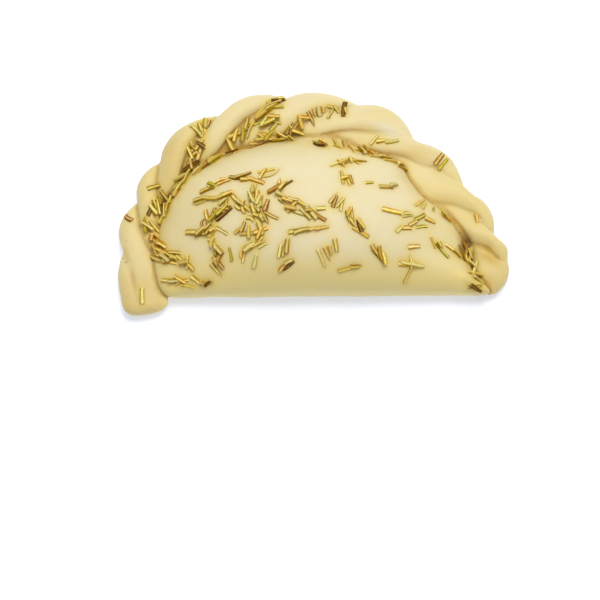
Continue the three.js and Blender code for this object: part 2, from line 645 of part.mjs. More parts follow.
const dough = toSolid(bodyGeometry()).add(toSolid(ropeGeometry()));
const needles = layNeedles(toGeometry(dough), scatterNeedles().slice(0, LARGEST_NEEDLES));
const sprinkled = needles.reduce((solid, needle) => solid.add(toSolid(needleGeometry(needle))), dough);
const geometry = largestShell(toGeometry(toSolid(snapped(toGeometry(sprinkled)))));
geometry.computeBoundingBox();
const box = geometry.boundingBox;
geometry.translate(-(box.min.x + box.max.x) / 2, -(box.min.y + box.max.y) / 2, -box.min.z);

const empanada = new THREE.Mesh(
  geometry,
  new THREE.MeshStandardMaterial({ color: DOUGH_COLOUR, roughness: 0.55, metalness: 0 }),
);
empanada.name = 'empanada';

const model = new THREE.Group();
model.add(empanada);

export default model;
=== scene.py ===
import math

import bpy
import numpy as np
from mathutils import Matrix, Vector
from mathutils.bvhtree import BVHTree


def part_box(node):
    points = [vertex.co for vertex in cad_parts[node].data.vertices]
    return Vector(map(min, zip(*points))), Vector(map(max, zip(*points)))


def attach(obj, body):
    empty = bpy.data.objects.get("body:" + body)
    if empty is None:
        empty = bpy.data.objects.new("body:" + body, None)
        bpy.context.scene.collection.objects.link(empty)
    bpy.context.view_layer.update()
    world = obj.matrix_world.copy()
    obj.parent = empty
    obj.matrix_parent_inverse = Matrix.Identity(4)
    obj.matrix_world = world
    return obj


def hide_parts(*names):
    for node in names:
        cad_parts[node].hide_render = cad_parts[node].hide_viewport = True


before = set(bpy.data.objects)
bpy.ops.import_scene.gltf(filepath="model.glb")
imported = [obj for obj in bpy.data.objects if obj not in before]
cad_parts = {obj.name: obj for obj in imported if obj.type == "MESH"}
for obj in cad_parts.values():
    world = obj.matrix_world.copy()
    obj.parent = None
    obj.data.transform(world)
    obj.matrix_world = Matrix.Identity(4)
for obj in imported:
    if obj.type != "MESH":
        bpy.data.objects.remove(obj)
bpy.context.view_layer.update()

# ---- Dimensions in millimetres: the CAD part's, and then those of the scene alone ----

MM = 0.001

# The rim's guide in plan: its two ends, how far it reaches to the left and right and at what
# depth, its furthest point back, and how full the two quarters are.
LEFT_END = (-54.0, -31.4)
RIGHT_END = (51.8, -26.8)
LEFT_REACH = -54.6
RIGHT_REACH = 53.6
SHOULDER_Y = -20.0
BACK = (-2.0, 28.6)
LEFT_FULLNESS = 0.64
RIGHT_FULLNESS = 0.43
GUIDE_STEPS = 400

# The rope along the guide, as rows of (distance along it, value): how far it reaches outwards
# and inwards, and how high it rises over its middle.
ROPE_OUT = [
    (0, 5.2), (10, 6.0), (22, 6.6), (37, 5.6), (53, 6.7), (78, 7.7),
    (96, 7.4), (114, 8.1), (135, 6.6), (154, 5.4), (171, 5.7), (182, 4.4),
]
ROPE_IN = [
    (-3, 10.2), (2, 9.0), (14, 7.0), (38, 6.4), (53, 8.6), (74, 10.4), (90, 9.0), (106, 8.4),
    (114, 9.6), (127, 7.6), (134, 10.4), (141, 11.6), (150, 9.2), (172, 8.8), (182, 7.0),
]
ROPE_RISE = [(0, 3.4), (18, 4.8), (60, 6.0), (100, 5.6), (150, 4.8), (175, 4.0), (182, 3.4)]
# Its middle's height, how far it drops below that, and how square its section is.
ROPE_MIDDLE = 4.2
ROPE_DROP = 4.8
SQUARENESS = 2.2

# How far past the guide's ends the rope starts and stops, and how long and blunt its noses are.
LEFT_NOSE = {"start": -3.4, "length": 5.4, "bluntness": 2.6}
RIGHT_NOSE = {"start": 1.2, "length": 7.0, "bluntness": 2.4}

# Creases between folds: outer end, inner end, depth at the outline, depth on top, and
# how late over the fold the crease swings from the one end to the other.
CREASES = [
    (16.5, -7.0, 2.4, 0.4, 1.0),
    (31.5, 16.0, 3.0, 2.8, 1.0),
    (44.7, 32.1, 3.2, 2.8, 1.0),
    (67.4, 44.1, 3.4, 3.2, 1.0),
    (86.8, 62.3, 2.2, 3.4, 1.0),
    (106.8, 87.5, 2.4, 2.4, 1.0),
    (126.6, 99.0, 4.4, 1.5, 1.7),
    (147.9, 118.5, 4.6, 1.3, 1.5),
    (164.8, 144.5, 4.4, 1.7, 1.2),
    (171.5, 163.5, 0.4, 2.8, 1.0),
]
# Round the rope's section, from outside over the top: where a crease reaches its inner end, and
# from where it fades out under the body.
CREASE_SEAM_ANGLE = math.radians(150)
CREASE_FADE_ANGLE = math.radians(145)
# How blunt a fold is between its creases and how far it leans, at the outline and on top, and
# from which angle it is on top.
EDGE_BLUNTNESS = 0.8
TOP_BLUNTNESS = [(0, 0.55), (88, 0.55), (112, 0.95), (164, 0.95), (176, 0.6)]
EDGE_SKEW = 0.82
TOP_SKEW = 1.3
TOP_ANGLE = math.radians(70)

# The filled body. Its level lines turn from an oval at the top, of the crown's half lengths, into
# the outline: at the first power where that dents in, and later, at the second, where it doesn't.
BODY_CENTRE = (0.0, -5.5)
BODY_HEIGHT = 25.0
CROWN = (47.0, 24.0)
LEVEL_HOLD = (2, 8)
DENT_REACH = (0.8, 1)
# Where on the crown's oval the front's form begins and is full, and the right's.
FRONT_TURN = (0, 0.95)
RIGHT_TURN = (-0.3, 0.7)
# The fold's ends in plan, how high the body is widest, at the fold and from left to right under
# the rope, how far under the rope it reaches, and how full and steep its sides are.
FOLD_LEFT = (-46.0, -29.8)
FOLD_RIGHT = (54.5, -29.0)
FOLD_EQUATOR = 7.6
SEAM_EQUATOR = (5.0, 7.2)
BODY_UNDER_ROPE = 2.4
BODY_FULLNESS = 2.15
FOLD_STEEPNESS = 0.48
SEAM_STEEPNESS = (0.68, 1.0)
# How far from the guide's two ends the body's seam starts and stops.
SEAM_FROM_ENDS = (4, 3)
# How softly the outline's corners are rounded, and out to how many times that they are felt.
CORNER_SOFTNESS = 2.2
CORNER_REACH = 2.5
# The base's size to the outline's.
BASE_INSET = 0.9

# In the scene alone, from here to the needles. The seam between rope and body, pressed in and
# darkened as painted shade: how near to both a point in it is, how deep it is pressed in, and how
# strongly it is pressed and shaded along the rim.
SEAM_WIDTH = (0.2, 0.75)
SEAM_DEPTH = 0.5
SEAM_STRENGTH = [
    (-3, 0.6), (80, 0.6), (90, 0.35), (106, 0.35), (120, 1.3), (146, 1.3), (152, 0.9), (161, 0.9),
    (167, 1.4),
]
# Fine pleats in the rope, as rim places: from, to, half width, depth and how much painted shade
# they take.
PLEATS = [
    ((148.5, 6.6), (164.5, 5.2), 0.5, 0.45, 1.0),
    ((16.5, -4.6), (11.0, -1.8), 0.9, 0.35, 0.25),
    ((11.5, -1.9), (-1.0, 0.4), 0.9, 0.35, 0.25),
    ((31.0, 2.0), (24.0, 5.6), 0.6, 0.30, 0.4),
    ((120.0, 6.2), (112.0, 8.0), 0.5, 0.30, 0.5),
    ((163.0, 8.6), (171.5, 7.6), 0.9, 1.00, 1.0),
]
# How much deeper the creases' bottoms are pressed than the rope's own section gives.
CREASE_PRESS = 0.15
# A crease's fine line and broad hollow, both painted into the dough as shade: rounds of averaging,
# how far below that mean of the skin round it a point lies where the mark starts and is full, and
# rounds that soften the mark.
CREASE_MARKS = {"line": (8, 0.03, 0.16, 1), "hollow_shade": (90, 0.02, 0.9, 16)}

# How finely the surface is made.
FOLD_STATIONS = 26
SECTION_SIDES = 112
SEAM_POINTS = 121
OUTLINE_FINENESS = 6
BODY_SIDES = 280
BODY_RINGS = 70
UNDER_RINGS = 13
VOXEL = 0.47
# The skin's places along the rim are looked up at every fourth point of the guide, for so many
# points of the skin at a time.
GUIDE_SKIP = 4
PLAN_BLOCK = 5000
# A round of smoothing draws the skin in by the first share and lets it out by the second.
SMOOTHING_ROUNDS = 8
SMOOTHING = (0.5, -0.52)
# The filled body is drawn smoother still, away from the seam and from the base.
BODY_ROUNDS = 140
BODY_FROM_SEAM = (1.0, 4.0)
BODY_FROM_BASE = (1.5, 6.0)
# Gentle unevenness, off the base: counts of waves, their lengths and their height.
RELIEF = [(14, (14, 30), 0.10), (24, (4, 9), 0.022)]
RELIEF_OFF_BASE = (0.6, 3)
RELIEF_SEED = 7

# Where the needles lie, as in the CAD part and drawn in the same order: from, to, spread,
# count, heading and turn in degrees. On the rim, an end is a distance along the guide and one in
# from it, and a heading is from the rim's own direction.
RIM_DRIFTS = [
    ((1, 1.5), (2, 1.5), 0.3, 1, 0, 8),
    ((25, -4), (26, -4), 0.3, 1, 60, 10),
    ((36, 0), (37, 0), 0.4, 1, -35, 10),
    ((19, 6), (12, 8), 1.8, 12, 50, 60),
    ((25, 2), (17, 6), 1.8, 14, 30, 45),
    ((29, 3), (36, 4), 1.4, 9, 15, 60),
    ((26, 5.5), (48, 6.5), 1.4, 22, 5, 35),
    ((57, 1), (46, 7), 2.4, 24, 35, 100),
    ((57, -2), (63, -3), 1.2, 7, 75, 40),
    ((49, 7.5), (66, 9), 1, 16, 0, 25),
    ((73, 3), (64, 8), 2.4, 24, 35, 80),
    ((74, 2), (83, 3), 2, 11, 40, 80),
    ((76, 0), (85, -3.5), 1.8, 17, 30, 70),
    ((74, 8), (88, 8), 1.8, 18, -5, 60),
    ((85, 7), (90, 3.5), 1.2, 6, 60, 60),
    ((91, 2.5), (105, -3.5), 2, 10, -60, 90),
    ((112, 8), (120, 8.5), 1.6, 9, 10, 35),
    ((114, 4), (122, 0.5), 1, 3, 80, 60),
    ((121, 7.5), (130, 6), 0.7, 5, 30, 20),
    ((132, -2), (142, -3), 0.5, 2, 100, 10),
    ((146, 8), (152, 8), 0.9, 5, 20, 30),
    ((156, 0), (157, 0), 0.4, 1, -20, 10),
    ((164, 7.5), (176, 5), 1.2, 14, 10, 50),
    ((177, 4), (183, 2), 1.2, 4, 110, 50),
]
# On the filled body, an end is a place in plan, and a heading is from +X.
BODY_DRIFTS = [
    ((-35, 2), (-12, 5), 2.2, 12, 5, 60),
    ((-36, -2), (-25, -2), 1.2, 6, 5, 30),
    ((-34, -10), (-26, -5), 2.4, 11, 55, 80),
    ((-37, -13), (-29, -12), 1.6, 8, 0, 60),
    ((-24, -4), (-14, -10), 2.2, 13, -55, 40),
    ((-19, -1), (-15, -5), 2, 9, 80, 35),
    ((-12, -1), (-9, 1), 1.3, 6, 55, 40),
    ((-11, -4), (2, -9), 2.4, 13, -15, 75),
    ((-7, -14), (3, -13), 0.6, 4, 12, 6),
    ((-12, -19.5), (-7, -17), 0.8, 3, 75, 12),
    ((-24, -12.5), (-15, -14), 1.8, 7, 45, 80),
    ((-21, -17.5), (-15, -17), 1.2, 5, 28, 20),
    ((-31, -15), (-29, -24), 1.6, 8, -80, 50),
    ((-26, -19), (-17, -21.5), 0.8, 4, 90, 25),
    ((-10, -23), (-8, -23), 0.8, 3, 30, 20),
    ((-46, -17), (-37, -22), 2.4, 11, -40, 70),
    ((-46, -26), (-31, -27), 1.6, 9, -15, 60),
    ((0, 17.5), (8, 16.5), 1.8, 8, -40, 60),
    ((11, 17), (18, 14), 1.5, 5, -60, 40),
    ((6, 8), (13, 10), 1.5, 7, 0, 90),
    ((7, 4), (11, 3), 1.2, 4, -30, 60),
    ((4, -3), (8, -6), 1, 4, 55, 30),
    ((9, -8), (13, -13), 2, 7, -70, 60),
    ((6, -18), (1, -21.5), 0.9, 4, -75, 20),
    ((8, -24), (13, -23), 0.5, 2, 8, 10),
    ((17, -18), (21, -22), 1.2, 4, -60, 25),
    ((16, 2), (28, 2), 1, 4, 0, 60),
    ((23, -7), (36, -8), 1.2, 5, 5, 40),
    ((24, -12.5), (32, -9.5), 1, 4, 25, 30),
    ((27, -21), (31, -23), 1, 5, -5, 30),
    ((30, -16), (27, -27), 0.6, 3, 60, 80),
    ((35, -14.5), (44, -18), 1.2, 6, -50, 40),
    ((31, -2), (35, -4), 1, 4, 60, 40),
]
NEEDLE_SEED = 20977
# The shortest, usual and longest, and the narrowest and widest.
NEEDLE_LENGTH = (1.2, 4.4, 6.4)
NEEDLE_WIDTH = (1.0, 1.65)
# Thickness to width, width at the tip to width at the foot, and depth sunk into the dough.
NEEDLE_FLATNESS = 0.54
NEEDLE_TAPER = (0.5, 1)
NEEDLE_SINK = 0.22
# Where a needle feels for what is under it: along it in half lengths, and to its sides.
NEEDLE_SUPPORTS = (-0.9, -0.45, 0.0, 0.45, 0.9)
SIDE_SUPPORT = 0.6
HIGHEST_PILE = 2.0
LOWEST_REST = 3.0


# ---- Helpers ----

def lerp(a, b, t):
    return a + (b - a) * t


def smoothstep(low, high, value):
    t = np.clip((value - low) / (high - low), 0, 1)
    return t * t * (3 - 2 * t)


def along(rows, s):
    """A smooth value at s from rows of (s, value)."""
    stations = np.array([row[0] for row in rows], float)
    values = np.array([row[1] for row in rows], float)
    s = np.clip(s, stations[0], stations[-1])
    i = np.clip(np.searchsorted(stations, s, side="left"), 1, len(rows) - 1)
    t = smoothstep(stations[i - 1], stations[i], s)
    return lerp(values[i - 1], values[i], t)


def signed_power(value, power):
    return np.sign(value) * np.abs(value) ** power


def new_object(name, data):
    piece = bpy.data.objects.new(name, data)
    bpy.context.scene.collection.objects.link(piece)
    return piece


def new_mesh(name, vertices, faces):
    mesh = bpy.data.meshes.new(name)
    mesh.from_pydata([tuple(v) for v in vertices], [], [tuple(f) for f in faces])
    mesh.update()
    return new_object(name, mesh)


# ---- Rim guide and rope ----

def bezier(points):
    points = np.array(points, float)[:, None, :]
    t = np.linspace(0, 1, GUIDE_STEPS + 1)[:, None]
    while len(points) > 1:
        points = points[:-1] * (1 - t) + points[1:] * t
    return points[0]


def guide_half(end, reach, fullness):
    """The curves from one end of the guide to its furthest point back."""
    shoulder = (reach, SHOULDER_Y)
    full_side = (reach, lerp(SHOULDER_Y, BACK[1], fullness))
    full_back = (lerp(BACK[0], reach, fullness), BACK[1])
    return [
        [end, (reach, (end[1] + SHOULDER_Y) / 2), shoulder],
        [shoulder, full_side, full_back, BACK],
    ]


def rim_guide():
    """The guide's points from left to right, and each one's distance along it."""
    right_half = guide_half(RIGHT_END, RIGHT_REACH, RIGHT_FULLNESS)
    curves = guide_half(LEFT_END, LEFT_REACH, LEFT_FULLNESS)
    curves += [curve[::-1] for curve in reversed(right_half)]
    runs = [bezier(curve) for curve in curves]
    points = np.vstack([runs[0]] + [run[1:] for run in runs[1:]])
    steps = np.linalg.norm(np.diff(points, axis=0), axis=1)
    return points, np.concatenate([[0], np.cumsum(steps)])


GUIDE_POINTS, GUIDE_LENGTHS = rim_guide()
GUIDE_LENGTH = GUIDE_LENGTHS[-1]
ROPE_START = LEFT_NOSE["start"]
ROPE_END = GUIDE_LENGTH + RIGHT_NOSE["start"]
NOSE_LINES = [(ROPE_START, ROPE_START, 0, 0, 1), (ROPE_END, ROPE_END, 0, 0, 1)]
FOLD_LINES = [NOSE_LINES[0], *CREASES, NOSE_LINES[1]]


def rim_at(s):
    """The guide's point and outward direction at s, run on straight past both ends."""
    i = np.clip(np.searchsorted(GUIDE_LENGTHS, s, side="right"), 1, len(GUIDE_LENGTHS) - 1)
    span = GUIDE_LENGTHS[i] - GUIDE_LENGTHS[i - 1]
    t = (s - GUIDE_LENGTHS[i - 1]) / span
    step = GUIDE_POINTS[i] - GUIDE_POINTS[i - 1]
    x = GUIDE_POINTS[i - 1, 0] + step[..., 0] * t
    y = GUIDE_POINTS[i - 1, 1] + step[..., 1] * t
    return x, y, -step[..., 1] / span, step[..., 0] / span


def settle(s):
    """Bunches whatever would run past either nose up against it."""
    for nose, end, inward in ((LEFT_NOSE, ROPE_START, 1), (RIGHT_NOSE, ROPE_END, -1)):
        length = nose["length"]
        past = np.maximum(length - (s - end) * inward, 0)
        s = np.where(past > 0, end + inward * length * np.exp(-past / length), s)
    return s


def crease_at(line, angle):
    """Where along the guide a crease lies, at each angle round the rope's section."""
    turn = (1 - np.cos(np.maximum(angle, 0))) / (1 - math.cos(CREASE_SEAM_ANGLE))
    if line in NOSE_LINES:
        return np.full_like(turn, line[0])
    return settle(lerp(line[0], line[1], turn ** line[4]))


def crease_depth(line, angle):
    """How deep a crease is at each angle round the rope's section."""
    on_top = smoothstep(0, TOP_ANGLE, angle)
    below = smoothstep(-math.pi / 2, 0, angle)
    inside = 1 - smoothstep(CREASE_FADE_ANGLE, math.pi, angle)
    return lerp(line[2], line[3], on_top) * below * inside


def nose_scale(s):
    """How much of the rope's section is left at s, as it closes to a blunt nose at each end."""
    scale = 1
    for nose, past_end in ((LEFT_NOSE, ROPE_START - s), (RIGHT_NOSE, s - ROPE_END)):
        closed = np.clip((past_end + nose["length"]) / nose["length"], 0, 1)
        scale = scale * (1 - closed ** nose["bluntness"]) ** (1 / nose["bluntness"])
    return scale


def rope_ring(before, after, across, angle):
    """One ring of the rope's points, part of the way across a fold."""
    s = lerp(crease_at(before, angle), crease_at(after, angle), across)
    on_top = smoothstep(0, TOP_ANGLE, angle)
    skew = lerp(EDGE_SKEW, TOP_SKEW, on_top)
    bluntness = lerp(EDGE_BLUNTNESS, along(TOP_BLUNTNESS, s), on_top)
    swell = np.sin(math.pi * across ** skew) ** bluntness
    depth = lerp(crease_depth(before, angle), crease_depth(after, angle), across) * (1 - swell)
    cos = signed_power(np.cos(angle), 2 / SQUARENESS)
    sin = signed_power(np.sin(angle), 2 / SQUARENESS)
    out = cos * np.where(cos > 0, along(ROPE_OUT, s), along(ROPE_IN, s))
    up = sin * np.where(sin > 0, along(ROPE_RISE, s), ROPE_DROP)
    reach = np.hypot(out, up)
    keep = np.maximum(reach - depth, 0) / reach * nose_scale(s)
    x, y, nx, ny = rim_at(s)
    z = np.maximum(ROPE_MIDDLE + up * keep, 0)
    return np.stack([x + nx * out * keep, y + ny * out * keep, z], axis=1)


def grid_faces(rings, sides):
    """Quads between neighbouring rings of equal numbers of points."""
    faces = []
    for low in range(0, (rings - 1) * sides, sides):
        for side in range(sides):
            a, b = low + side, low + (side + 1) % sides
            faces.append((a, b, b + sides, a + sides))
    return faces


def tube_faces(rings, sides):
    """Those quads, and a face over each end."""
    first = tuple(reversed(range(sides)))
    last = tuple(range((rings - 1) * sides, rings * sides))
    return grid_faces(rings, sides) + [first, last]


def rope_mesh():
    angle = np.linspace(-math.pi, math.pi, SECTION_SIDES, endpoint=False) + math.pi / SECTION_SIDES
    rings = []
    for before, after in zip(FOLD_LINES, FOLD_LINES[1:]):
        for step in range(FOLD_STATIONS):
            # Rings crowd towards the creases, where the surface turns fastest.
            across = 0.5 - 0.5 * math.cos(math.pi * step / FOLD_STATIONS)
            rings.append(rope_ring(before, after, across, angle))
    rings.append(rope_ring(FOLD_LINES[-2], FOLD_LINES[-1], 1.0, angle))
    return new_mesh("rope", np.vstack(rings) * MM, tube_faces(len(rings), SECTION_SIDES))


# ---- Filled body ----

def body_outline():
    """The body's outline at its widest, evenly spaced and softened at its corners."""
    s = np.linspace(SEAM_FROM_ENDS[0], GUIDE_LENGTH - SEAM_FROM_ENDS[1], SEAM_POINTS)
    x, y, nx, ny = rim_at(s)
    inset = along(ROPE_IN, s) - BODY_UNDER_ROPE
    seam = np.stack([x - nx * inset, y - ny * inset], axis=1)
    corners = np.vstack([seam, [FOLD_RIGHT], [FOLD_LEFT], seam[:1]])
    lengths = np.concatenate([[0], np.cumsum(np.linalg.norm(np.diff(corners, axis=0), axis=1))])
    fine = BODY_SIDES * OUTLINE_FINENESS
    at = np.arange(fine) / fine * lengths[-1]
    points = np.stack([np.interp(at, lengths, corners[:, k]) for k in range(2)], axis=1)
    step = lengths[-1] / fine
    reach = math.ceil(CORNER_REACH * CORNER_SOFTNESS / step)
    offsets = np.arange(-reach, reach + 1)
    weights = np.exp(-0.5 * (offsets * step / CORNER_SOFTNESS) ** 2)
    weights /= weights.sum()
    soft = sum(
        weight * np.roll(points, -offset, axis=0) for offset, weight in zip(offsets, weights)
    )
    return soft[::OUTLINE_FINENESS]


def body_mesh():
    """Rings from the crown down to the equator, where the body is widest, and to the base."""
    out = body_outline() - BODY_CENTRE
    crown = np.hypot(out[:, 0] / CROWN[0], out[:, 1] / CROWN[1])
    front = smoothstep(*FRONT_TURN, -out[:, 1] / CROWN[1] / crown)
    right = smoothstep(*RIGHT_TURN, out[:, 0] / CROWN[0] / crown)
    equator = lerp(lerp(*SEAM_EQUATOR, right), FOLD_EQUATOR, front)
    hold = lerp(*LEVEL_HOLD, smoothstep(*DENT_REACH, crown))
    steepness = lerp(lerp(*SEAM_STEEPNESS, right), FOLD_STEEPNESS, front)
    rings = []
    for angle in np.arange(1, BODY_RINGS + 1) / BODY_RINGS * math.pi / 2:
        reach = math.sin(angle) ** (2 / BODY_FULLNESS)
        lift = (1 - reach ** BODY_FULLNESS) ** steepness
        share = reach * lerp(1 / crown, 1, reach ** hold)
        height = equator + (BODY_HEIGHT - equator) * lift
        rings.append(np.column_stack([BODY_CENTRE + out * share[:, None], height]))
    for angle in np.linspace(0, math.pi / 2, UNDER_RINGS + 1)[1:]:
        share = lerp(BASE_INSET, 1, math.cos(angle))
        height = equator * (1 - math.sin(angle))
        rings.append(np.column_stack([BODY_CENTRE + out * share, height]))
    top = len(rings) * BODY_SIDES
    faces = [tuple(reversed(face)) for face in grid_faces(len(rings), BODY_SIDES)]
    faces += [(top, i, (i + 1) % BODY_SIDES) for i in range(BODY_SIDES)]
    faces.append(tuple(range(top - BODY_SIDES, top)))
    vertices = np.vstack([*rings, (*BODY_CENTRE, BODY_HEIGHT)])
    return new_mesh("body", vertices * MM, faces)


# ---- Dough: rope and body in one skin ----

def vertex_vectors(mesh, name):
    vectors = np.empty(len(mesh.vertices) * 3, np.float32)
    mesh.vertices.foreach_get(name, vectors)
    return vectors.reshape(-1, 3).astype(float)


def mesh_points(mesh):
    return vertex_vectors(mesh, "co")


def vertex_normals(mesh):
    return vertex_vectors(mesh, "normal")


def mesh_edges(mesh):
    edges = np.empty(len(mesh.edges) * 2, np.int32)
    mesh.edges.foreach_get("vertices", edges)
    return edges.reshape(-1, 2)


def set_points(mesh, points):
    mesh.vertices.foreach_set("co", points.astype(np.float32).ravel())
    mesh.update()


def keep_values(mesh, name, values):
    """Keeps a value at each point, for the materials to read."""
    attribute = mesh.attributes.new(name, "FLOAT", "POINT")
    attribute.data.foreach_set("value", np.asarray(values, np.float32))


def paint(mesh, name, amount):
    """Keeps how far each point of the dough has a mark, from 0 to 1."""
    keep_values(mesh, name, np.clip(amount, 0, 1))


def neighbour_mean(values, edges):
    """The mean of each vertex's neighbours, column by column."""
    count = len(values)
    a, b = edges[:, 0], edges[:, 1]
    degree = np.bincount(a, minlength=count) + np.bincount(b, minlength=count)
    total = np.stack([
        np.bincount(a, values[b, k], count) + np.bincount(b, values[a, k], count)
        for k in range(values.shape[1])
    ], axis=1)
    return total / np.maximum(degree, 1)[:, None]


def smooth(points, edges):
    """Smooths the skin without shrinking it."""
    for _ in range(SMOOTHING_ROUNDS):
        for share in SMOOTHING:
            points = lerp(points, neighbour_mean(points, edges), share)
    return points


def remeshed(pieces):
    """All the pieces' closed meshes as one skin of even quads."""
    bpy.ops.object.select_all(action="DESELECT")
    for piece in pieces:
        piece.select_set(True)
    bpy.context.view_layer.objects.active = pieces[0]
    bpy.ops.object.join()
    joined = bpy.context.view_layer.objects.active
    remesh = joined.modifiers.new("one_skin", "REMESH")
    remesh.mode = "VOXEL"
    remesh.voxel_size = VOXEL * MM
    remesh.use_smooth_shade = True
    evaluated = joined.evaluated_get(bpy.context.evaluated_depsgraph_get())
    mesh = bpy.data.meshes.new_from_object(evaluated)
    bpy.data.objects.remove(joined)
    return mesh


def waves(points, generator, count, wavelengths, height):
    """Gentle unevenness: a sum of plane waves in random directions."""
    total = np.zeros(len(points))
    for _ in range(count):
        direction = generator.normal(size=3)
        direction /= np.linalg.norm(direction)
        wavelength = generator.uniform(*wavelengths)
        phase = generator.uniform(0, 2 * math.pi)
        total += np.sin(points @ direction * (2 * math.pi / wavelength) + phase)
    return total * height / math.sqrt(count / 2)


def how_sunk(mesh, rounds, start, full):
    """Whether each point lies below the mean of the skin round it, from 0 to 1."""
    points, edges = mesh_points(mesh), mesh_edges(mesh)
    broad = points
    for _ in range(rounds):
        broad = neighbour_mean(broad, edges)
    depth = np.einsum("ij,ij->i", broad - points, vertex_normals(mesh)) / MM
    return smoothstep(start, full, depth)


def rim_places(plan):
    """For points in plan: the nearest distance along the guide, and how far in from it."""
    stations = GUIDE_LENGTHS[::GUIDE_SKIP]
    x, y, nx, ny = rim_at(stations)
    nearest = np.empty(len(plan), int)
    for first in range(0, len(plan), PLAN_BLOCK):
        block = slice(first, first + PLAN_BLOCK)
        nearest[block] = np.hypot(plan[block, 0, None] - x, plan[block, 1, None] - y).argmin(axis=1)
    dx, dy = plan[:, 0] - x[nearest], plan[:, 1] - y[nearest]
    inward = dx * nx[nearest] + dy * ny[nearest] < 0
    return stations[nearest], np.hypot(dx, dy) * np.where(inward, 1, -1)


def seam_share(points, trees, at):
    """How far each point lies in the seam, from how near it is to both rope and body."""
    gaps = np.array([
        [tree.find_nearest(point)[3] for tree in trees] for point in map(Vector, points)
    ])
    near = 1 - smoothstep(*SEAM_WIDTH, gaps.max(axis=1) / MM)
    return near * along(SEAM_STRENGTH, at)


def pleat_share(height, at, inset):
    """How far each point lies in a pleat, and how deep the pleat is there."""
    share, depth = np.zeros(len(at)), np.zeros(len(at))
    for start, end, half_width, deepest, tint in PLEATS:
        run, fall = end[0] - start[0], end[1] - start[1]
        t = ((at - start[0]) * run + (inset - start[1]) * fall) / (run ** 2 + fall ** 2)
        t = np.clip(t, 0, 1)
        gap = np.hypot(at - start[0] - run * t, inset - start[1] - fall * t)
        here = np.exp(-(gap / half_width) ** 2) * np.sin(math.pi * t) ** 0.5
        here = here * (height > ROPE_MIDDLE)
        share = np.maximum(share, here * tint)
        depth = np.maximum(depth, here * deepest)
    return share, depth


def surface_tree(mesh):
    """A search tree of the mesh's faces."""
    return BVHTree.FromPolygons(
        [vertex.co for vertex in mesh.vertices], [tuple(face.vertices) for face in mesh.polygons]
    )


def stretch_body(points, edges, from_rope):
    """Smooths the filled body further, away from the seam and from the base."""
    share = smoothstep(*BODY_FROM_SEAM, from_rope) * smoothstep(*BODY_FROM_BASE, points[:, 2] / MM)
    for _ in range(BODY_ROUNDS):
        points = lerp(points, neighbour_mean(points, edges), SMOOTHING[0] * share[:, None])
    return points


def press_lines(mesh, points, trees, at, inset):
    """Presses in the seam, the pleats and the creases' bottoms, and marks the first two for painted
    shade.
    """
    seam = seam_share(points, trees, at)
    pleat, pleat_depth = pleat_share(points[:, 2] / MM, at, inset)
    line = how_sunk(mesh, *CREASE_MARKS["line"][:3])
    pressed = seam * SEAM_DEPTH + pleat_depth + line * (1 - seam) * CREASE_PRESS
    # The seam and pleats take the crease's painted shade.
    paint(mesh, "seam", np.maximum(seam, pleat))
    return points - vertex_normals(mesh) * (pressed * MM)[:, None]


def roughen(mesh, points):
    """Gives the skin its gentle unevenness."""
    generator = np.random.default_rng(RELIEF_SEED)
    relief = sum(waves(points / MM, generator, *band) for band in RELIEF)
    off_the_base = smoothstep(*np.multiply(RELIEF_OFF_BASE, MM), points[:, 2])
    return points + vertex_normals(mesh) * (relief * off_the_base * MM)[:, None]


def make_dough():
    """The dough's piece, and how far it was moved in plan to sit on the CAD part."""
    pieces = [rope_mesh(), body_mesh()]
    trees = [surface_tree(piece.data) for piece in pieces]
    mesh = remeshed(pieces)
    mesh.name = "dough"
    edges = mesh_edges(mesh)
    points = smooth(mesh_points(mesh), edges)
    at, inset = rim_places(points[:, :2] / MM)
    points = stretch_body(points, edges, inset - along(ROPE_IN, at))
    set_points(mesh, points)
    points = press_lines(mesh, points, trees, at, inset)
    set_points(mesh, points)
    points = roughen(mesh, points)
    # Centred on the CAD part's box, as its own solid is.
    low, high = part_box("empanada")
    shift = [(low[k] + high[k] - points[:, k].min() - points[:, k].max()) / 2 for k in range(2)]
    points[:, :2] += shift
    points[:, 2] = np.maximum(points[:, 2] - points[:, 2].min(), 0)
    set_points(mesh, points)
    return new_object("dough", mesh), shift


# ---- Rosemary ----

RANDOM_FACTOR = 1664525
RANDOM_OFFSET = 1013904223
RANDOM_RANGE = 2 ** 32


def random_source(seed):
    """Numbers from 0 to 1 by a plain rule that the CAD part's source follows too."""
    state = seed
    while True:
        state = (state * RANDOM_FACTOR + RANDOM_OFFSET) % RANDOM_RANGE
        yield state / RANDOM_RANGE


def on_rim(s, inset):
    """A place on the rim in plan, and the rim's direction there."""
    x, y, nx, ny = (float(value) for value in rim_at(s))
    return x - nx * inset, y - ny * inset, math.atan2(-nx, ny)


def on_body(x, y):
    return x, y, 0.0


def scatter_needles():
    """Every needle as scattered in plan, longest first."""
    draw = random_source(NEEDLE_SEED).__next__

    def spread():
        return draw() + draw() - 1

    shortest, usual, longest = NEEDLE_LENGTH
    needles = []
    for drifts, place_at in ((RIM_DRIFTS, on_rim), (BODY_DRIFTS, on_body)):
        for start, end, reach, count, heading, turn in drifts:
            for i in range(count):
                t = (i + draw()) / count
                first = lerp(start[0], end[0], t) + reach * spread()
                second = lerp(start[1], end[1], t) + reach * spread()
                x, y, direction = place_at(first, second)
                angle = direction + math.radians(heading + turn * spread())
                # Half are shorter than usual, and the longer, the fewer.
                size = draw()
                if size < 0.5:
                    length = lerp(shortest, usual, math.sqrt(size * 2))
                else:
                    length = lerp(usual, longest, (size * 2 - 1) ** 2)
                width = lerp(*NEEDLE_WIDTH, draw())
                taper = lerp(*NEEDLE_TAPER, draw())
                place = {"x": x, "y": y, "heading": angle}
                needles.append({**place, "length": length, "width": width, "taper": taper})
    return sorted(needles, key=lambda needle: -needle["length"])


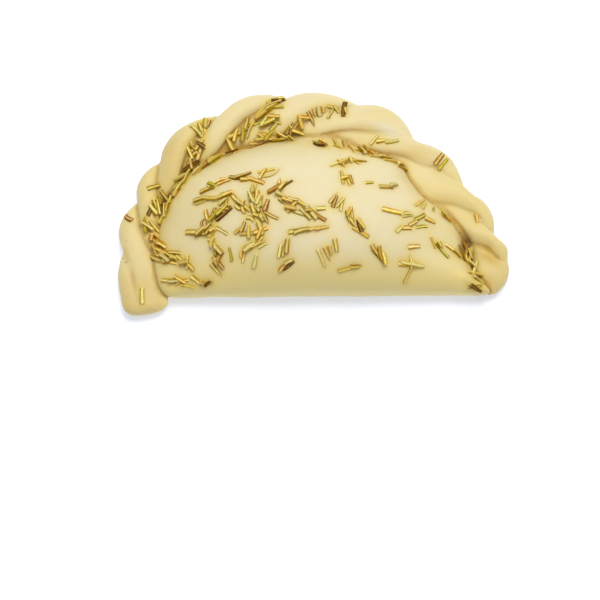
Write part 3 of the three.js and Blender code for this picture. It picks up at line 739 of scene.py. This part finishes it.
def lay_needles(dough, needles, shift):
    """Lays the needles one by one on the dough and on those already down."""
    tree = surface_tree(dough.data)

    def dough_height(x, y):
        hit = tree.ray_cast(Vector((x * MM, y * MM, 1)), Vector((0, 0, -1)))[0]
        return hit.z / MM if hit else -math.inf

    laid = []

    def rest_height(x, y):
        height = dough_height(x, y)
        for needle in laid:
            dx, dy = x - needle["centre"].x, y - needle["centre"].y
            ahead = needle["ahead"]
            lengthwise = dx * ahead.x + dy * ahead.y
            sideways = dy * ahead.x - dx * ahead.y
            if abs(lengthwise) > needle["length"] / 2 or abs(sideways) > needle["width"] / 2:
                continue
            slope = ahead.z / math.hypot(ahead.x, ahead.y)
            top = needle["centre"].z + slope * lengthwise + needle["width"] * NEEDLE_FLATNESS / 2
            height = max(height, top)
        return height

    for needle in needles:
        half = needle["length"] / 2
        cos, sin = math.cos(needle["heading"]), math.sin(needle["heading"])
        cx, cy = needle["x"] + shift[0] / MM, needle["y"] + shift[1] / MM
        places = [(cx + cos * half * t, cy + sin * half * t) for t in NEEDLE_SUPPORTS]
        bare = [dough_height(*place) for place in places]
        heights = [rest_height(*place) for place in places]
        if min(bare) < LOWEST_REST:
            continue
        if any(height - base > HIGHEST_PILE for height, base in zip(heights, bare)):
            continue
        reach = NEEDLE_SUPPORTS[-1]
        line = [lerp(heights[0], heights[-1], (t + reach) / (2 * reach)) for t in NEEDLE_SUPPORTS]
        lift = max(height - base for height, base in zip(heights, line))
        rise = (heights[-1] - heights[0]) / (reach * needle["length"])
        ahead = Vector((cos, sin, rise)).normalized()
        sides = [(cx - sin * side, cy + cos * side) for side in (SIDE_SUPPORT, -SIDE_SUPPORT)]
        left, right = (Vector((x, y, dough_height(x, y))) for x, y in sides)
        across = left - right
        if not math.isfinite(across.z):
            continue
        across = (across - ahead * across.dot(ahead)).normalized()
        settled = needle["width"] * NEEDLE_FLATNESS / 2 - NEEDLE_SINK
        centre = Vector((cx, cy, (heights[0] + heights[-1]) / 2 + max(lift, 0) + settled))
        up = ahead.cross(across)
        laid.append({**needle, "centre": centre, "ahead": ahead, "across": across, "up": up})
    return laid


NEEDLE_STATIONS = 11
# Half of a needle's cross-section, as parts of its half width and half thickness.
NEEDLE_TOP = [
    (1.0, 0.0), (0.98, 0.42), (0.86, 0.78), (0.68, 0.95), (0.5, 1.0), (0.33, 1.0), (0.16, 1.0),
]
NEEDLE_UNDER = [(0.96, -0.45), (0.75, -0.85), (0.35, -1.0)]
# The share of needles with rolled edges, how deep their groove and the others' is, in parts of
# the thickness, and how wide, in parts of the width.
ROLLED_SHARE = 0.62
ROLLED_GROOVE = (0.20, 0.34)
FLAT_GROOVE = (0.0, 0.08)
GROOVE_WIDTH = 0.14
# How far most needles and the rest bend, and all arch, in parts of the length, and twist.
NEARLY_STRAIGHT_SHARE = 0.85
BEND = (0.02, 0.09)
ARCH = 0.015
TWIST = 0.22
# How thick needles are, how soon a narrowing one thins, and how much its width wavers.
THICKNESS_RANGE = (0.85, 1.1)
THICKNESS_FROM_WIDTH = 1.15
WIDTH_NOISE = 0.035
# The most tapered needles run to a point, which keeps this share of their width.
POINTED_TAPER = 0.57
POINT_WIDTH = 0.12
# How much the cut end is pinched in, and over what share of the length.
CUT_PINCH = (0.10, 0.08)
NEEDLE_FORM_SEED = 11


def needle_section():
    """A needle's cross-section, from one margin over the top and round underneath."""
    upper = NEEDLE_TOP + [(0.0, 1.0)] + [(-side, lift) for side, lift in reversed(NEEDLE_TOP)]
    lower = [(-side, lift) for side, lift in NEEDLE_UNDER] + [(0.0, -1.0)] + NEEDLE_UNDER[::-1]
    return np.array(upper + lower).T


NEEDLE_ACROSS, NEEDLE_LIFT = needle_section()


def needle_points(needle, generator):
    """Rings of one needle: a grooved leaf piece, slightly bent and twisted."""
    rolled = generator.random() < ROLLED_SHARE
    groove = generator.uniform(*(ROLLED_GROOVE if rolled else FLAT_GROOVE))
    bend = BEND[0] if generator.random() < NEARLY_STRAIGHT_SHARE else BEND[1]
    bend = generator.normal(0, bend) * needle["length"]
    arch = generator.normal(0, ARCH) * needle["length"]
    twist = generator.normal(0, TWIST)
    flat = NEEDLE_FLATNESS * generator.uniform(*THICKNESS_RANGE)
    pointed = needle["taper"] < POINTED_TAPER
    pinch, pinch_reach = CUT_PINCH
    rings = []
    for u in np.linspace(-0.5, 0.5, NEEDLE_STATIONS):
        scale = lerp(1, needle["taper"], u + 0.5)
        if pointed:
            scale *= max(1 - max(u * 2, 0) ** 3, POINT_WIDTH)
        scale *= 1 - pinch * math.exp(-((u + 0.5) / pinch_reach) ** 2)
        scale *= 1 + generator.normal(0, WIDTH_NOISE)
        side = 0.5 * NEEDLE_ACROSS
        dip = groove * np.exp(-(side / GROOVE_WIDTH) ** 2) * (NEEDLE_LIFT > 0)
        lift = (0.5 * NEEDLE_LIFT - dip) * needle["width"] * flat
        lift = lift * min(scale * THICKNESS_FROM_WIDTH, 1)
        side = side * needle["width"] * scale
        cos, sin = math.cos(twist * u), math.sin(twist * u)
        side, lift = side * cos - lift * sin, side * sin + lift * cos
        curve = 1 - (2 * u) ** 2
        rings.append(
            np.array(needle["centre"])
            + np.array(needle["ahead"]) * u * needle["length"]
            + np.outer(side + bend * curve, needle["across"])
            + np.outer(lift + arch * curve, needle["up"])
        )
    return np.vstack(rings), float(rolled)


def build_needles(laid):
    """One mesh for each kind of needle, told apart by colour."""
    generator = np.random.default_rng(NEEDLE_FORM_SEED)
    shares = [kind["share"] for kind in KINDS]
    parts = {kind["name"]: [] for kind in KINDS}
    for needle in laid:
        points, rolled = needle_points(needle, generator)
        kind = KINDS[generator.choice(len(KINDS), p=shares)]["name"]
        shade, streak = generator.random(), generator.random()
        part = {"points": points, "rolled": rolled, "shade": shade, "streak": streak}
        parts[kind].append(part)
    sides, stations = len(NEEDLE_ACROSS), NEEDLE_STATIONS
    shell = [tuple(reversed(face)) for face in tube_faces(stations, sides)]
    smooth_faces = [True] * (len(shell) - 2) + [False] * 2
    lengthwise = np.repeat(np.linspace(0, 1, stations), sides)
    pieces = []
    for name, needles in parts.items():
        count = sides * stations
        vertices = np.vstack([needle["points"] for needle in needles]) * MM
        faces = [tuple(i * count + v for v in face) for i in range(len(needles)) for face in shell]
        piece = new_mesh("rosemary_" + name, vertices, faces)
        mesh = piece.data
        mesh.polygons.foreach_set("use_smooth", smooth_faces * len(needles))
        keep_values(mesh, "crossing", np.tile(NEEDLE_ACROSS, stations * len(needles)))
        keep_values(mesh, "topside", np.tile(NEEDLE_LIFT, stations * len(needles)))
        keep_values(mesh, "lengthwise", np.tile(lengthwise, len(needles)))
        for mark in ("rolled", "shade", "streak"):
            keep_values(mesh, mark, np.repeat([needle[mark] for needle in needles], count))
        pieces.append(piece)
    return pieces


# ---- Materials ----

# The kinds of needle: their share, and the colours of leaf, margin and vein.
KINDS = [
    dict(zip(("name", "share", "leaf", "edge", "vein"), row))
    for row in (
        ("olive", 0.37, (0.69, 0.525, 0.125), (0.39, 0.215, 0.002), (0.92, 0.79, 0.36)),
        ("sage", 0.20, (0.71, 0.60, 0.220), (0.43, 0.280, 0.005), (0.90, 0.81, 0.43)),
        ("golden", 0.16, (0.75, 0.53, 0.105), (0.47, 0.245, 0.003), (0.93, 0.79, 0.37)),
        ("green", 0.10, (0.55, 0.42, 0.042), (0.28, 0.160, 0.002), (0.84, 0.72, 0.27)),
        ("brown", 0.12, (0.49, 0.30, 0.048), (0.23, 0.088, 0.002), (0.80, 0.63, 0.27)),
        ("dark", 0.05, (0.21, 0.092, 0.010), (0.09, 0.032, 0.003), (0.42, 0.29, 0.09)),
    )
]


class Nodes:
    """A short way to build a node tree."""

    def __init__(self, name):
        self.material = bpy.data.materials.new(name)
        self.material.use_nodes = True
        self.tree = self.material.node_tree
        self.shader = self.tree.nodes["Principled BSDF"]

    def feed(self, node, inputs):
        """Gives a node's inputs their values, or links them where these are other outputs."""
        for name, value in inputs.items():
            if isinstance(value, bpy.types.NodeSocket):
                self.tree.links.new(value, node.inputs[name])
            else:
                node.inputs[name].default_value = value

    def add(self, kind, settings, inputs):
        node = self.tree.nodes.new(kind)
        for name, value in settings.items():
            setattr(node, name, value)
        self.feed(node, inputs)
        return node

    def place(self):
        return self.add("ShaderNodeTexCoord", {}, {}).outputs["Object"]

    def attribute(self, name):
        return self.add("ShaderNodeAttribute", {"attribute_name": name}, {}).outputs["Fac"]

    def noise(self, vector, scale, detail, roughness=0.5):
        inputs = {"Vector": vector, "Scale": scale, "Detail": detail, "Roughness": roughness}
        return self.add("ShaderNodeTexNoise", {}, inputs).outputs["Fac"]

    def math(self, operation, a, b=0.0, clamp=False):
        settings = {"operation": operation, "use_clamp": clamp}
        return self.add("ShaderNodeMath", settings, {0: a, 1: b}).outputs[0]

    def plus(self, a, b):
        return self.math("ADD", a, b)

    def times(self, a, b):
        return self.math("MULTIPLY", a, b)

    def span(self, value, low, high, to_low=0.0, to_high=1.0):
        """The value, from low to high, carried over to the second pair and held at its ends."""
        inputs = {
            "Value": value, "From Min": low, "From Max": high, "To Min": to_low, "To Max": to_high,
        }
        return self.add("ShaderNodeMapRange", {"clamp": True}, inputs).outputs["Result"]

    def mix(self, factor, a, b):
        """The colour a, or as far as the factor says, b."""
        node = self.add("ShaderNodeMix", {"data_type": "RGBA"}, {0: factor})
        for socket, colour in ((6, a), (7, b)):
            plain = isinstance(colour, tuple)
            self.feed(node, {socket: (*colour, 1.0) if plain else colour})
        return node.outputs[2]

    def bump(self, height, strength, distance):
        inputs = {"Height": height, "Strength": strength, "Distance": distance}
        return self.add("ShaderNodeBump", {}, inputs).outputs["Normal"]


DOUGH_PALE = (0.835, 0.735, 0.462)
DOUGH_WARM = (0.806, 0.668, 0.306)
DOUGH_HOLLOW_SHADE = (0.760, 0.560, 0.150)
DOUGH_CREASE_SHADE = (0.500, 0.290, 0.015)
DOUGH_SPECK = (0.42, 0.27, 0.10)
DOUGH_DEEP = (0.660, 0.460, 0.120)
DOUGH_FRONT_SHADE = (0.820, 0.672, 0.265)
DOUGH_SHADED = (0.200, 0.085, 0.004)
DOUGH_FLOUR = (0.860, 0.800, 0.570)
DOUGH_STAIN_AND_SHADE = (0.820, 0.610, 0.090)
# What is painted over the dough's two tones, in order: where, how much of it shows, and its colour.
# The front, hollow, line, seam, stained seam and shaded layers are painted shade, and the needles'
# stain is partly painted shade.
DOUGH_LAYERS = [
    ("front", 1.0, DOUGH_FRONT_SHADE),
    ("rim_paler", 1.0, DOUGH_PALE),
    ("rim_deeper", 1.0, DOUGH_DEEP),
    ("deeper_patch", 1.0, DOUGH_DEEP),
    ("stained", 0.85, DOUGH_STAIN_AND_SHADE),
    ("hollow_shade", 0.75, DOUGH_HOLLOW_SHADE),
    ("line", 0.7, DOUGH_CREASE_SHADE),
    ("seam", 0.9, DOUGH_CREASE_SHADE),
    ("stained seam", 1.0, DOUGH_SHADED),
    ("floury", 1.0, DOUGH_FLOUR),
    ("shaded", 1.0, DOUGH_SHADED),
]
# Noises, as their scale to a metre and their detail.
DOUGH_PATCHES = (55.0, 2.0)
DOUGH_FINE = (420.0, 3.0)
DOUGH_SHEEN = (160.0, 2.0)
DOUGH_GRAIN = (900.0, 3.0)
DOUGH_DIMPLES = (260.0, 2.0)
SPECK_GROUPS = (190.0, 1.0)
SPECK_SCALE = 330.0
# The heights in metres between which the dough turns from warm to pale, a painted light on the
# higher dough, the noise's range and how far it shifts that, and how much of it is fine.
TOP_LIGHT_HEIGHTS = (0.008, 0.022)
TOP_LIGHT_UNEVENNESS = (0.36, 0.64, 0.15, -0.15)
FINE_SHARE = 0.25
# Which range of the noise has specks, a speck's edge and centre, and how much it shows.
SPECKLED = (0.60, 0.66)
SPECK_SIZE = (0.16, 0.07)
SPECK_SHOWN = 0.55
# The sheen's range of noise and the roughness at its ends, how much the dimples add to the
# grain, and the bumps' strength and height.
DOUGH_ROUGHNESS = (0.3, 0.7, 0.50, 0.60)
DIMPLES_SHARE = 0.8
DOUGH_BUMP = (0.10, 0.0002)

# How much deeper in tone, or below zero how much paler, the rope's dough is painted along the rim.
RIM_TONE = [
    (-3, 0.5), (4, 0.3), (12, -0.1), (22, -0.05), (35, 0.1), (48, 0.45), (66, -0.3), (84, -0.55),
    (95, -0.65), (106, -0.6), (114, -0.15), (122, -0.45), (134, -0.35), (146, 0.0), (156, 0.1),
    (166, 0.1), (172, 0.2), (182, 0.35),
]
# The rope's tone fades out from so far before the rope's inner side to so far past it.
RIM_TONE_EDGE = (3.0, 0.5)
# How much of a crease's hollow and fine line show as painted shade in the dough's colour, along the
# rim.
CREASE_SHADE_SHOWN = [
    (12, 0.45), (34, 1.0), (80, 1.0), (90, 0.55), (112, 0.55), (128, 0.35), (161, 0.3), (168, 1.0),
]
# Between which places from back to front the body takes on the front's painted shade, a warmer and
# less blue tone.
FRONT_SHADE_SPAN = (-17.0, -28.0)
# Soft patches in plan: centre, half length, half width, heading in degrees and strength.
PATCHES = {
    "floury": [(22.5, 22.4, 5.0, 1.6, -22, 0.9)],
    "deeper_patch": [
        (31.5, 14.6, 7.0, 2.6, -12, 0.45), (53.0, -18.0, 4.5, 1.9, -30, 0.95),
        (50.5, -26.5, 2.6, 3.5, -70, 0.45),
    ],
    "shaded": [(47.0, -15.2, 4.6, 1.9, -74, 1.2), (-7.0, 19.5, 3.5, 1.6, 30, 0.5)],
}
# How far from a needle its stain and painted shade reach, and how many needles at a point stain and
# shade it fully.
STAIN_AND_SHADE_REACH = 1.5
STAIN_AND_SHADE_FULL = 3.0


def dough_material():
    """Uncooked dough: two tones, the pale one higher up as painted light, the painted marks, fine
    specks and a slight sheen.
    """
    nodes = Nodes("dough")
    place = nodes.place()
    patches = nodes.times(nodes.noise(place, *DOUGH_PATCHES), 1 - FINE_SHARE)
    tone = nodes.plus(patches, nodes.times(nodes.noise(place, *DOUGH_FINE), FINE_SHARE))
    height = nodes.add("ShaderNodeSeparateXYZ", {}, {"Vector": place}).outputs["Z"]
    uneven = nodes.span(tone, *TOP_LIGHT_UNEVENNESS)
    # The dough is painted paler higher up, as painted light, shifted by the noise.
    top_light_and_tone = nodes.math("ADD", nodes.span(height, *TOP_LIGHT_HEIGHTS), uneven, clamp=True)
    colour = nodes.mix(top_light_and_tone, DOUGH_WARM, DOUGH_PALE)
    for marks, shown, layer in DOUGH_LAYERS:
        for mark in marks.split():
            shown = nodes.times(nodes.attribute(mark), shown)
        colour = nodes.mix(shown, colour, layer)
    cell = {"Vector": place, "Scale": SPECK_SCALE}
    cells = nodes.add("ShaderNodeTexVoronoi", {"feature": "F1"}, cell).outputs["Distance"]
    groups = nodes.span(nodes.noise(place, *SPECK_GROUPS), *SPECKLED)
    specks = nodes.times(nodes.span(cells, *SPECK_SIZE), groups)
    dimples = nodes.times(nodes.noise(place, *DOUGH_DIMPLES), DIMPLES_SHARE)
    bumps = nodes.plus(nodes.noise(place, *DOUGH_GRAIN), dimples)
    nodes.feed(nodes.shader, {
        "Base Color": nodes.mix(nodes.times(specks, SPECK_SHOWN), colour, DOUGH_SPECK),
        "Subsurface Weight": 0.5,
        "Subsurface Radius": (1.0, 0.72, 0.30),
        "Subsurface Scale": 0.0025,
        "IOR": 1.42,
        "Specular IOR Level": 0.38,
        "Roughness": nodes.span(nodes.noise(place, *DOUGH_SHEEN), *DOUGH_ROUGHNESS),
        "Normal": nodes.bump(bumps, *DOUGH_BUMP),
    })
    return nodes.material


# A needle's grain: how often it changes across, along and from needle to needle, and its
# noise's scale, detail and roughness. Its mottle is finer and the same in all directions.
GRAIN_STRETCH = (2.6, 2.4, 90.0)
NEEDLE_GRAIN = (1.6, 4.0, 0.6)
NEEDLE_MOTTLE = (1400.0, 3.0, 0.6)
# Half widths from the middle where each starts and is full, and the grain's range and pull.
MARGIN = (0.50, 0.62)
VEIN = (0.34, 0.24)
RAGGEDNESS = (0.3, 0.7, -0.20, 0.20)
# Ranges of the grain, the height on top, the mottle and the length, where each starts and is
# full. A gap in the vein leaves some of it.
BLOTCHED = (0.50, 0.66)
VEIN_TOPSIDE = (0.0, 0.3)
VEIN_GAPS = (0.3, 0.5, 0.4, 1.0)
CUT_ENDS = (0.44, 0.5)
# How much of each shows: the margin on flat and on rolled needles, the vein on flat needles and
# how much more on rolled ones.
MARGIN_SHOWN = (0.75, 1.0)
VEIN_SHOWN = (0.1, 0.5)
BLOTCH_SHOWN = 0.55
CUT_SHOWN = 0.35
NEEDLE_BRIGHTNESS = (0.98, 1.28)
NEEDLE_HUE = (0.485, 0.515)
# How much the grain adds to the mottle, and the bumps' strength and height in metres.
GRAIN_SHARE = 2.0
NEEDLE_BUMP = (0.5, 0.00012)


def needle_material(kind):
    """A leaf piece with dark ragged margins, a pale vein, blotches and pale cut ends."""
    nodes = Nodes("rosemary_" + kind["name"])
    marks = ("crossing", "lengthwise", "topside", "rolled", "shade", "streak")
    crossing, lengthwise, topside, rolled, shade, streak = map(nodes.attribute, marks)
    grain_place = nodes.add("ShaderNodeCombineXYZ", {}, {
        axis: nodes.times(mark, stretch)
        for axis, mark, stretch in zip("XYZ", (crossing, lengthwise, shade), GRAIN_STRETCH)
    }).outputs["Vector"]
    grain = nodes.noise(grain_place, *NEEDLE_GRAIN)
    mottle = nodes.noise(nodes.place(), *NEEDLE_MOTTLE)
    from_middle = nodes.math("ABSOLUTE", crossing)
    from_middle = nodes.plus(from_middle, nodes.span(grain, *RAGGEDNESS))
    margin = nodes.span(from_middle, *MARGIN)
    margin = nodes.times(margin, nodes.span(rolled, 0.0, 1.0, *MARGIN_SHOWN))
    blotch = nodes.times(nodes.span(grain, *BLOTCHED), BLOTCH_SHOWN)
    colour = nodes.mix(nodes.math("MAXIMUM", margin, blotch), kind["leaf"], kind["edge"])
    vein = nodes.times(nodes.span(from_middle, *VEIN), nodes.span(topside, *VEIN_TOPSIDE))
    vein = nodes.times(vein, nodes.plus(nodes.times(rolled, VEIN_SHOWN[1]), VEIN_SHOWN[0]))
    vein = nodes.times(vein, nodes.span(mottle, *VEIN_GAPS))
    colour = nodes.mix(vein, colour, kind["vein"])
    from_centre = nodes.math("ABSOLUTE", nodes.math("SUBTRACT", lengthwise, 0.5))
    cut = nodes.times(nodes.span(from_centre, *CUT_ENDS), CUT_SHOWN)
    varied = nodes.add("ShaderNodeHueSaturation", {}, {
        "Hue": nodes.span(streak, 0.0, 1.0, *NEEDLE_HUE),
        "Value": nodes.span(shade, 0.0, 1.0, *NEEDLE_BRIGHTNESS),
        "Color": nodes.mix(cut, colour, kind["vein"]),
    })
    nodes.feed(nodes.shader, {
        "Base Color": varied.outputs["Color"],
        "Roughness": 0.7,
        "Specular IOR Level": 0.03,
        "Normal": nodes.bump(nodes.plus(mottle, nodes.times(grain, GRAIN_SHARE)), *NEEDLE_BUMP),
    })
    return nodes.material


def paint_creases(dough):
    """Marks how deep each point lies in a crease, for painted shade: a fine line, and the broad
    hollow round it.
    """
    mesh = dough.data
    edges = mesh_edges(mesh)
    share = along(CREASE_SHADE_SHOWN, rim_places(mesh_points(mesh)[:, :2] / MM)[0])
    for name, (rounds, start, full, softened) in CREASE_MARKS.items():
        amount = how_sunk(mesh, rounds, start, full)[:, None]
        for _ in range(softened):
            amount = neighbour_mean(amount, edges)
        # Both marks darken the dough as painted shade.
        paint(mesh, name, amount[:, 0] * share)


def paint_patches(dough):
    """Marks the front's painted shade, the rope's deeper and paler dough along the rim, and the
    patches.
    """
    mesh = dough.data
    plan = mesh_points(mesh)[:, :2] / MM
    at, inset = rim_places(plan)
    inner = along(ROPE_IN, at)
    on_rope = 1 - smoothstep(inner - RIM_TONE_EDGE[0], inner + RIM_TONE_EDGE[1], inset)
    # The body's front side is painted in a warmer, less blue tone as painted shade.
    paint(mesh, "front", smoothstep(*FRONT_SHADE_SPAN, plan[:, 1]) * (1 - on_rope))
    paint(mesh, "rim_deeper", along(RIM_TONE, at) * on_rope)
    paint(mesh, "rim_paler", -along(RIM_TONE, at) * on_rope)
    for name, patches in PATCHES.items():
        amount = np.zeros(len(plan))
        for x, y, length, width, heading, strength in patches:
            cos, sin = math.cos(math.radians(heading)), math.sin(math.radians(heading))
            dx, dy = plan[:, 0] - x, plan[:, 1] - y
            ahead, across = dx * cos + dy * sin, dy * cos - dx * sin
            amount += strength * np.exp(-((ahead / length) ** 2 + (across / width) ** 2))
        paint(mesh, name, amount)


def paint_stains_and_shade(dough, laid):
    """Marks the dough that the needles round it have stained, and the painted shade they cast on
    it.
    """
    points = mesh_points(dough.data) / MM
    stain_and_shade = np.zeros(len(points))
    for needle in laid:
        off = points - np.array(needle["centre"])
        ahead = np.array(needle["ahead"])
        half = needle["length"] / 2
        off -= np.clip(off @ ahead, -half, half)[:, None] * ahead
        stain_and_shade += np.exp(-np.einsum("ij,ij->i", off, off) / STAIN_AND_SHADE_REACH ** 2)
    paint(dough.data, "stained", stain_and_shade / STAIN_AND_SHADE_FULL)


# ---- Floor, light and camera ----

# In metres and watts.
CAMERA_ELEVATION = math.radians(75)
CAMERA_DISTANCE = 0.70
CAMERA_ANGLE = math.radians(15.12)
NEAREST_SEEN = 0.01
FRAME_PIXELS = 600
ORIGIN_PIXEL = (313.5, 206.6)
SKY_STRENGTH = 0.37
LAMP_SIZE = (0.50, 0.45)
LAMP_POWER = 6.9
LAMP_PLACE = (0.09, 0.25, 0.95)
FLOOR_REACH = 3.0


def make_camera():
    camera = bpy.data.cameras.new("camera")
    camera.angle = CAMERA_ANGLE
    camera.clip_start = NEAREST_SEEN
    holder = new_object("camera", camera)
    back = Vector((0, -math.cos(CAMERA_ELEVATION), math.sin(CAMERA_ELEVATION)))
    aim = (-back).to_track_quat("-Z", "Y").to_matrix()
    # Turned off the object's origin by as much as the picture's framing shows.
    focal = FRAME_PIXELS / 2 / math.tan(CAMERA_ANGLE / 2)
    yaw = math.atan((ORIGIN_PIXEL[0] - FRAME_PIXELS / 2) / focal)
    pitch = math.atan((ORIGIN_PIXEL[1] - FRAME_PIXELS / 2) / focal)
    aim = aim @ Matrix.Rotation(yaw, 3, "Y") @ Matrix.Rotation(pitch, 3, "X")
    holder.matrix_world = Matrix.Translation(back * CAMERA_DISTANCE) @ aim.to_4x4()
    bpy.context.scene.camera = holder


def make_light():
    world = bpy.data.worlds.new("studio")
    world.use_nodes = True
    background = world.node_tree.nodes["Background"]
    background.inputs["Color"].default_value = (1.0, 1.0, 1.0, 1.0)
    background.inputs["Strength"].default_value = SKY_STRENGTH
    bpy.context.scene.world = world
    lamp = bpy.data.lights.new("softbox", "AREA")
    lamp.shape = "RECTANGLE"
    lamp.size, lamp.size_y = LAMP_SIZE
    lamp.energy = LAMP_POWER
    holder = new_object("softbox", lamp)
    holder.location = LAMP_PLACE
    holder.rotation_euler = (-Vector(LAMP_PLACE)).to_track_quat("-Z", "Y").to_euler()
    bpy.context.scene.view_settings.view_transform = "Standard"


def make_floor():
    signs = ((-1, -1), (1, -1), (1, 1), (-1, 1))
    corners = [(FLOOR_REACH * x, FLOOR_REACH * y, 0) for x, y in signs]
    floor = new_mesh("floor", corners, [(0, 1, 2, 3)])
    nodes = Nodes("floor")
    nodes.feed(nodes.shader, {
        "Base Color": (0.80, 0.84, 0.95, 1.0),
        "Emission Color": (0.80, 0.845, 1.0, 1.0),
        "Emission Strength": 0.42,
        "Roughness": 0.9,
        "Specular IOR Level": 0.1,
    })
    floor.data.materials.append(nodes.material)


# ---- The scene ----

make_camera()
make_light()
make_floor()

dough, shift = make_dough()
laid = lay_needles(dough, scatter_needles(), shift)
paint_creases(dough)
paint_patches(dough)
paint_stains_and_shade(dough, laid)
dough.data.materials.append(dough_material())
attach(dough, "root")
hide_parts("empanada")

for kind, piece in zip(KINDS, build_needles(laid)):
    piece.data.materials.append(needle_material(kind))
    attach(piece, "root")
